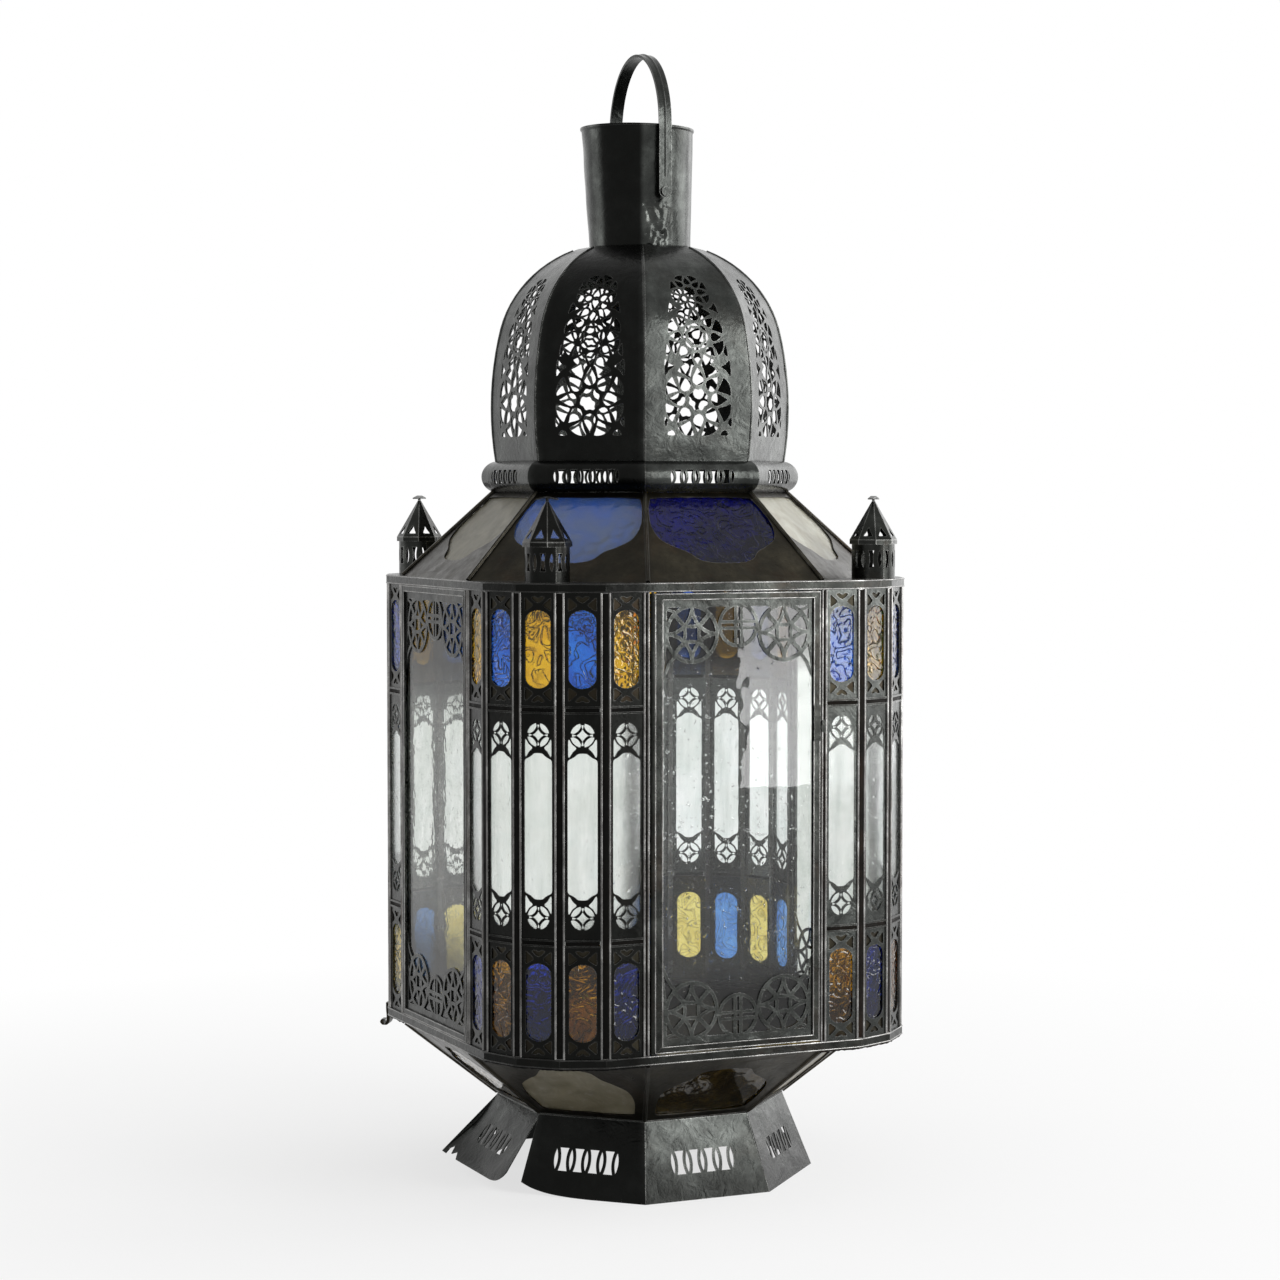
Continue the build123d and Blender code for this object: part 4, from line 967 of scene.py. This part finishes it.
# Rolled edges: a bright bead along both edges of each rail, and round the outer and inner edge of each frame
bends = np.array([(*came_bend(corners[i], TURNS[i - 1], EDGE_OUT), 0.0) for i in range(1, 5)])
plan = [p for k in (2, 3, 0, 1) for p in turned(bends, BAY_ANGLES[k])]
seam = (plan[0] + plan[-1]) / 2
rail_beads = Build()
for z in (Z_EAVES - 0.5, Z_EAVES - RAIL_H + 0.5, Z_BODY + RAIL_H - 0.5, Z_BODY + 0.5):
    edge_bead(rail_beads, [p + [0, 0, z] for p in [seam] + plan + [seam]], RAIL_EDGE_R, z)
rail_beads.make("rail_beads", IRON_EDGE, angle=60)
for name, angle in FLAT_SIDES:
    beads = Build()
    for x0, x1, z0, z1 in door_edges if name == "door" else frame_edges:
        ring_path = [(0, z0), (x1, z0), (x1, z1), (x0, z1), (x0, z0), (0, z0)]
        if name == "door":  # left open where the catch sweeps
            ring_path = [(x1, CATCH_HIGH), (x1, z1), (x0, z1), (x0, z0), (x1, z0), (x1, CATCH_LOW)]
        path = [(x, -APOTHEM - EDGE_OUT, z) for x, z in ring_path]
        edge_bead(beads, path, EDGE_R, angle, angle, (0, 1.0, 0))
    beads.make(f"{name}_frame_beads", IRON_EDGE, body="door" if name == "door" else "lantern", angle=60)


# Ring and dome
def on_circle(centre, radius, angles):
    return [(centre[0] + radius * math.cos(a), centre[1] + radius * math.sin(a)) for a in angles]


def bent_panel(profile):
    """The place, lengths, points and outline of one of eight sheets bent along a profile."""
    place, s, p = curved(profile)
    return place, s, p, both(np.stack([p[:, 0] * math.tan(HALF) - 0.05, s], 1))


def bend_lines(heights):
    return [line((-60, v), (60, v)) for v in heights]


BULGE, RING_HALF = 7.9, 10.5
arc_r = (RING_HALF**2 + BULGE**2) / (2 * BULGE)
spread = math.degrees(math.asin(RING_HALF / arc_r))
ring_c = (ap(ROOF_TOP_R) + BULGE - arc_r, Z_RING + RING_HALF)
ring_arc = on_circle(ring_c, arc_r, np.radians(np.linspace(-spread, spread, 33)))
lips = [(ring_c[0] - 0.5, z) for z in (Z_RING, Z_DOME)]
ring_place, ring_s, _, ring_outline = bent_panel(lips[:1] + ring_arc + lips[1:])
ring_holes = [moved(h, 0, ring_s[-1] / 2) for h in pierced_row(5, 8.9, 9.8)]
ring_tri = cut_sheet(ring_outline, ring_holes, lines=bend_lines(ring_s[2:-2:2]))
ring = Build()
for i in range(SIDES):
    ring.sheet(ring_tri, ring_place, turn=i * SECTOR)
ring.make("ring_half_round", IRON_GREY, replaces=["ring_moulding"], angle=25)


def circle_through(a, b, c):
    m = np.array([[2 * (b[0] - a[0]), 2 * (b[1] - a[1])], [2 * (c[0] - a[0]), 2 * (c[1] - a[1])]])
    k = np.array([b[0]**2 + b[1]**2 - a[0]**2 - a[1]**2, c[0]**2 + c[1]**2 - a[0]**2 - a[1]**2])
    centre = np.linalg.solve(m, k)
    return centre, math.dist(centre, a)


def arc_between(centre, radius, start, end, count):
    a, b = (math.atan2(p[1] - centre[1], p[0] - centre[0]) for p in (start, end))
    return on_circle(centre, radius, np.linspace(a, b, count))


base, belly, shoulder = (ap(99.8), Z_DOME), (ap(102.6), Z_DOME + 45.0), (ap(96.6), Z_DOME + 89.6)
lip = (ap(42.0), Z_NECK)
centre, radius = circle_through(base, belly, shoulder)
side_line = arc_between(centre, radius, base, shoulder, 30)
inward = (np.array(centre) - shoulder) / radius
d = np.array(lip) - shoulder
crown_r = (d @ d) / (2 * d @ inward)
crown_c = np.array(shoulder) + inward * crown_r
crown_line = arc_between(crown_c, crown_r, shoulder, lip, 40)[1:]
dome_place, dome_s, dome_p, dome_outline = bent_panel(side_line + crown_line + [(ap(34.0), Z_NECK)])


def dome_v(height):
    return float(np.interp(Z_DOME + height, dome_p[:-1, 1], dome_s[:-1]))


def on_gore(points, side=1):
    return [(side * u, dome_v(z)) for u, z in points]


# Holes of a rosette: a petal (its half, as shares of its length and half width), and a lens and a filling
# triangle, as shares of the rosette's radius
PETAL = [(0, 0), (0.06, 0.55), (0.16, 0.88), (0.30, 1.0), (0.47, 0.88), (0.66, 0.58), (0.84, 0.24), (1.0, 0)]
LENS = line((0.36, -0.15), (0.415, -0.09), (0.435, 0.0), (0.415, 0.09), (0.36, 0.15), (0.345, 0.07),
            (0.34, 0), (0.345, -0.07))
FILLER = loop([(0.60, 0.0), (0.70, 0.085), (0.81, 0.175), (0.90, 0.255), (0.962, 0.13), (0.982, 0.0),
               (0.962, -0.13), (0.90, -0.255), (0.81, -0.175), (0.70, -0.085)], 2)


def petal(first, tip, wide):
    half = [(first + a * (tip - first), b * wide) for a, b in PETAL]
    return np.array(half + [(r, -t) for r, t in half[-2:0:-1]])


def gore_rosette(height, size, lenses):
    """A scalloped eye, eight petals, and eight hollow-sided triangles that fill the outer ring."""
    cv = dome_v(height)
    t = np.radians(np.arange(0, 360, 7.5))
    lobed = 0.275 * size * (1 + 0.075 * np.cos(8 * t + math.pi))
    holes = [np.stack([lobed * np.cos(t), cv + lobed * np.sin(t)], 1)]
    leaves = [LENS, petal(0.50, 0.88, 0.145)] if lenses else [petal(0.365, 0.86, 0.168)]
    for shape, start in [(leaf, 0) for leaf in leaves] + [(FILLER, 22.5)]:
        holes += [spun(shape * size, 45 * k + start) + [0, cv] for k in range(8)]
    return holes


field = [(24.6, 15.5), (25.0, 40), (24.6, 62), (22.0, 76), (20.4, 90), (16.6, 106), (12.6, 118), (10.4, 126),
         (8.0, 129)]
field = both(np.vstack([on_gore([(0, 15.5)]), smooth(on_gore(field), per=5), on_gore([(0, 130)])]))
gore_holes = []
for rosette in ((40.6, 25.6, False), (82.6, 21.4, True), (113.0, 14.8, False)):
    gore_holes += gore_rosette(*rosette)
for s in (-1, 1):
    for shape in ([(24.2, 56.5), (23.8, 67.0), (20.6, 64.5), (17.2, 62.6), (20.8, 60.0)],
                  [(22.6, 69.5), (21.8, 77.5), (19.4, 72.5)],
                  [(18.6, 98.6), (16.2, 105.6), (14.4, 103.4), (11.6, 101.6), (15.0, 100.4)],
                  [(24.4, 22.6), (24.6, 28.6), (22.6, 27.4), (22.0, 25.0)],
                  [(22.0, 17.0), (16.6, 17.0), (17.6, 19.4), (19.8, 20.4), (21.6, 19.2)]):
        gore_holes.append(loop(on_gore(shape, s)))
gore_tri = cut_sheet(dome_outline, gore_holes, lines=bend_lines(dome_s[2:-1:2]), limit=field)
dome = Build()
for i in range(SIDES):
    dome.sheet(gore_tri, dome_place, turn=i * SECTOR, dent=(0.3, 24, 130 + i))
    path, across = corner_path(i, [(r / math.cos(HALF), z) for r, z in dome_p[:-1:3]])
    dome.tube(path, GORE_BEAD, ref=across)
dome.make("dome_fretwork", IRON_GREY, replaces=["dome_gores"], angle=28)

# Neck and bail
AROUND, UP = 176, 64
NECK_H, NECK_R, FLARE, LEAN, RIM_TILT = 82.0, 35.0, 3.5, 2.0, 0.018
HEM_FROM, HEM_H = 79.5, 2.5
PATCH_HALF, PATCH_TOP, PATCH_SHIFT, PATCH_FADE = 12.5, 31.0, 5.0, 3.0


def inside_patch(across, h):
    """How far a point lies inside the crumpled patch under the near end of the bail (0 to 1)."""
    side = min(max((PATCH_HALF - abs(across)) / PATCH_FADE, 0.0), 1.0)
    return side * min(max((PATCH_TOP - h) / PATCH_FADE, 0.0), 1.0)


rows = []
for j in range(UP + 1):
    h = NECK_H * j / UP
    for i in range(AROUND):
        a = 2 * math.pi * i / AROUND
        r = NECK_R + FLARE * h / NECK_H
        off = (a + math.pi / 2 + math.pi) % (2 * math.pi) - math.pi
        q = Vector((math.cos(a) * r, math.sin(a) * r, h))
        folds = 1.0 - abs(noise.noise(q / 5.0 + Vector((4.1, 0, 0)))) * 2.4
        crumple = 0.95 * folds + 0.6 * noise.noise(q / 2.4) - 0.1
        r += 0.4 * noise.noise(q / 19) + inside_patch(off * r + PATCH_SHIFT, h) * crumple
        if h > HEM_FROM:
            r += 1.0 * math.sin(math.pi * min(1.0, (h - HEM_FROM) / HEM_H) * 0.75)
        lean = LEAN * h / NECK_H
        rows.append((r * math.cos(a) - 0.91 * lean, r * math.sin(a) + 0.41 * lean,
                     Z_NECK + h - RIM_TILT * r * math.cos(a) * h / NECK_H))
rows = np.array(rows)
reach = np.hypot(rows[:, 0], rows[:, 1])
inner_rows = rows * np.stack([(reach - SHEET) / reach] * 2 + [np.ones(len(rows))], 1)
n = len(rows)
outer = ring_faces(UP + 1, AROUND)
faces = outer + [(n + b, n + a, n + d, n + c) for a, b, c, d in outer]
faces += [(b, a, n + a, n + b) for a, b, _, _ in outer[:AROUND]]
faces += [(a, b, n + b, n + a) for _, _, b, a in outer[-AROUND:]]
neck = Build()
neck.add(np.vstack([rows, inner_rows]), faces)
neck.make("neck_sheet", IRON_GREY, replaces=["neck"])

# A raised line along the outside of the bail's strap
STRAP_Y, STRAP_RISE, STRAP_FOOT, RIDGE_R = 42.3 - 0.4, 51.0 - 0.4, 686.0, 1.1
leg = [(0, -STRAP_Y, z) for z in np.linspace(STRAP_FOOT, Z_TOP, 6)[:-1]]
crown = [(0, -STRAP_Y * math.cos(t), Z_TOP + STRAP_RISE * math.sin(t)) for t in np.linspace(0, math.pi, 41)]
ridge = Build()
ridge.tube(leg + crown + [(0, -y, z) for x, y, z in reversed(leg)], RIDGE_R, sides=10, ref=(1.0, 0, 0))
ridge.make("bail_ridge", IRON_GREY, body="bail", angle=50)

# Turrets
DRUM_R, DRUM_H, SLOT_MID, SLOT_HALF = 14.6, 26.0, 13.2, 5.75
SPIRE_H, EAVE_R, EAVE_H, TIP_R, SPIRE_SHEET = 26.0, 14.9, 3.0, 1.0, 0.7
bay_depth = -min(y for x, y in corners) - APOTHEM
turret_r = APOTHEM + bay_depth / 2
quarter = 2 * math.pi * DRUM_R / 4


def drum_place(uv):
    a = uv[:, 0] / DRUM_R
    n = np.stack([np.sin(a), -np.cos(a), np.zeros(len(a))], 1)
    return n * DRUM_R + np.stack([np.zeros(len(a)), np.full(len(a), -turret_r), Z_EAVES + uv[:, 1]], 1), n


def round_turret(place, face):
    """One of eight faces, turned about the turret's own axis."""
    def at(uv):
        p, n = (turned(a, SECTOR * face) for a in place(uv))
        return p + [0, -turret_r, 0], n
    return at


hourglass, leaf = 1.05 + 0.75 * SWEEP**2, 1.35 * (1 - SWEEP**2) + 0.02
slots = [moved(both(np.stack([half, SWEEP * SLOT_HALF], 1)), u * quarter, SLOT_MID)
         for u, half in ((-0.375, hourglass), (-0.125, leaf), (0.125, hourglass), (0.375, leaf))]
ticks = np.linspace(0, 1, 13)
drum_outline = [(-quarter / 2 + quarter * t, 0) for t in ticks]
drum_outline += [(quarter / 2 - quarter * t, DRUM_H) for t in ticks]
drum_lines = [line((u, -1), (u, DRUM_H + 1)) for u in np.linspace(-quarter / 2, quarter / 2, 13)[1:-1]]
drum_uv, drum_f = cut_sheet(drum_outline, slots, lines=drum_lines)
z_spire = Z_EAVES + DRUM_H
wide, tip_wide = EAVE_R * math.tan(HALF), TIP_R * math.tan(HALF)
spire_hole = loop([(-3.1, 3.0), (0, 2.6), (3.1, 3.0), (1.5, 6.2), (0, 9.4), (-1.5, 6.2)], 2)
spire_tri = cut_sheet(trapezoid(wide, tip_wide, math.hypot(EAVE_R - TIP_R, SPIRE_H)), [spire_hole])
spire_place = slope((EAVE_R, z_spire), (TIP_R, z_spire + SPIRE_H))
eave_tri = cut_sheet(rect(wide, -EAVE_H, 0.2))
eave_place = flat((0, -EAVE_R, z_spire), (1, 0, 0), (0, 0, 1))
drums, spires = Build(), Build()
for angle in BAY_ANGLES:
    for q in range(4):
        drums.sheet((drum_uv + [q * quarter, 0], drum_f), drum_place, turn=angle)
    for j in range(SIDES):
        for tri, place in ((spire_tri, spire_place), (eave_tri, eave_place)):
            spires.sheet(tri, round_turret(place, j), turn=angle, thick=SPIRE_SHEET)
drums.make("turret_pierced_drums", IRON, replaces=["turret_drums"], angle=40)
spires.make("turret_pierced_spires", IRON, replaces=["turret_spires"], angle=20)

# CAD pieces that stay
EDGE_BEVEL = 0.0003
PANES = {"door_pane": DOOR_CLEAR, "left_side_pane": LEFT_CLEAR}
for name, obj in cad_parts.items():
    if obj.hide_render:
        continue
    pane = name.endswith(("pane", "panes"))
    if pane:
        material = PANES.get(name, FROSTED if name.startswith("bay") else CLEAR)
    else:
        material = IRON_GREY if name in ("bail", "bail_rivets") else IRON
    obj.data.materials.clear()
    obj.data.materials.append(material)
    if not pane and name not in ("door_hinge_rod", "candle_socket"):
        edges = obj.modifiers.new("edges", "BEVEL")
        edges.width, edges.segments = EDGE_BEVEL, 2
        edges.limit_method, edges.angle_limit = "ANGLE", math.radians(40)
        edges.harden_normals = False

# Stage
floor_mesh = bpy.data.meshes.new("floor")
floor_mesh.from_pydata([(-9, -9, 0), (9, -9, 0), (9, 9, 0), (-9, 9, 0)], [], [(0, 1, 2, 3)])
floor = bpy.data.objects.new("floor", floor_mesh)
scene.collection.objects.link(floor)
floor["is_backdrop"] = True
floor_mesh.materials.append(bpy.data.materials.new("floor_white"))
m = Nodes(floor_mesh.materials[0])
paint = m.ramp(m.noise(3, 2, 0.5), (0.0, (0.86, 0.86, 0.86)), (1.0, (0.90, 0.90, 0.90)))
# The shadow stays near the lantern and fades to the white background
away = m.node("VectorMath", "Value", {0: m.coord}, operation="LENGTH")
fade = m.math("MULTIPLY", m.seen(), m.range(away, 0.15, 0.95, 0.70, 1.0))
shaded = m.node("BsdfDiffuse", "BSDF", {"Color": paint})
m.put(m.blend(fade, shaded, m.node("Emission", "Emission", {"Strength": 1.0})), m.surface)

FILL_LIGHT = 0.35
scene.world = bpy.data.worlds.new("studio")
m = Nodes(scene.world, "OutputWorld")
strength = m.range(m.seen(), 0.0, 1.0, FILL_LIGHT, 1.0)
m.put(m.node("Background", "Background", {"Color": (1, 1, 1), "Strength": strength}), m.surface)
for name, place, (wide, tall), radiance in (("key_front_right", (1.58, -2.08, 0.90), (1.2, 1.8), 8.5),
                                            ("right_side", (2.53, -0.30, 0.95), (1.5, 1.8), 4.8),
                                            ("right_back", (2.10, 1.10, 0.95), (0.9, 1.8), 1.4),
                                            ("left_back", (-2.00, 1.40, 0.95), (0.9, 1.8), 1.5)):
    # A tall soft light that faces the lantern's middle and isn't seen itself
    lamp = bpy.data.lights.new(name, "AREA")
    lamp.shape = "RECTANGLE"
    lamp.size, lamp.size_y = wide, tall
    lamp.energy = radiance * math.pi * wide * tall
    obj = bpy.data.objects.new(name, lamp)
    obj.location = place
    obj.rotation_euler = (Vector((0, 0, 0.40)) - Vector(place)).to_track_quat("-Z", "Y").to_euler()
    obj.visible_camera = False
    obj.visible_transmission = False
    scene.collection.objects.link(obj)

# Camera
CAM_AZ, CAM_DIST, CAM_Z, CAM_TILT = math.radians(-24.28), 2.1018, 0.4744, math.radians(2.868)
SENSOR, FOCAL_PX, PHOTO_PX = 36.0, 3021.0, 1280
camera = bpy.data.cameras.new("camera")
camera.sensor_width = SENSOR
camera.lens = SENSOR * FOCAL_PX / PHOTO_PX
cam = bpy.data.objects.new("camera", camera)
cam.location = (math.sin(CAM_AZ) * CAM_DIST, -math.cos(CAM_AZ) * CAM_DIST, CAM_Z)
ahead = math.cos(CAM_TILT)
look = Vector((-math.sin(CAM_AZ) * ahead, math.cos(CAM_AZ) * ahead, -math.sin(CAM_TILT)))
cam.rotation_mode = "QUATERNION"
cam.rotation_quaternion = look.to_track_quat("-Z", "Y")
scene.collection.objects.link(cam)
scene.camera = cam
scene.view_settings.view_transform = "Standard"

low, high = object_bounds()
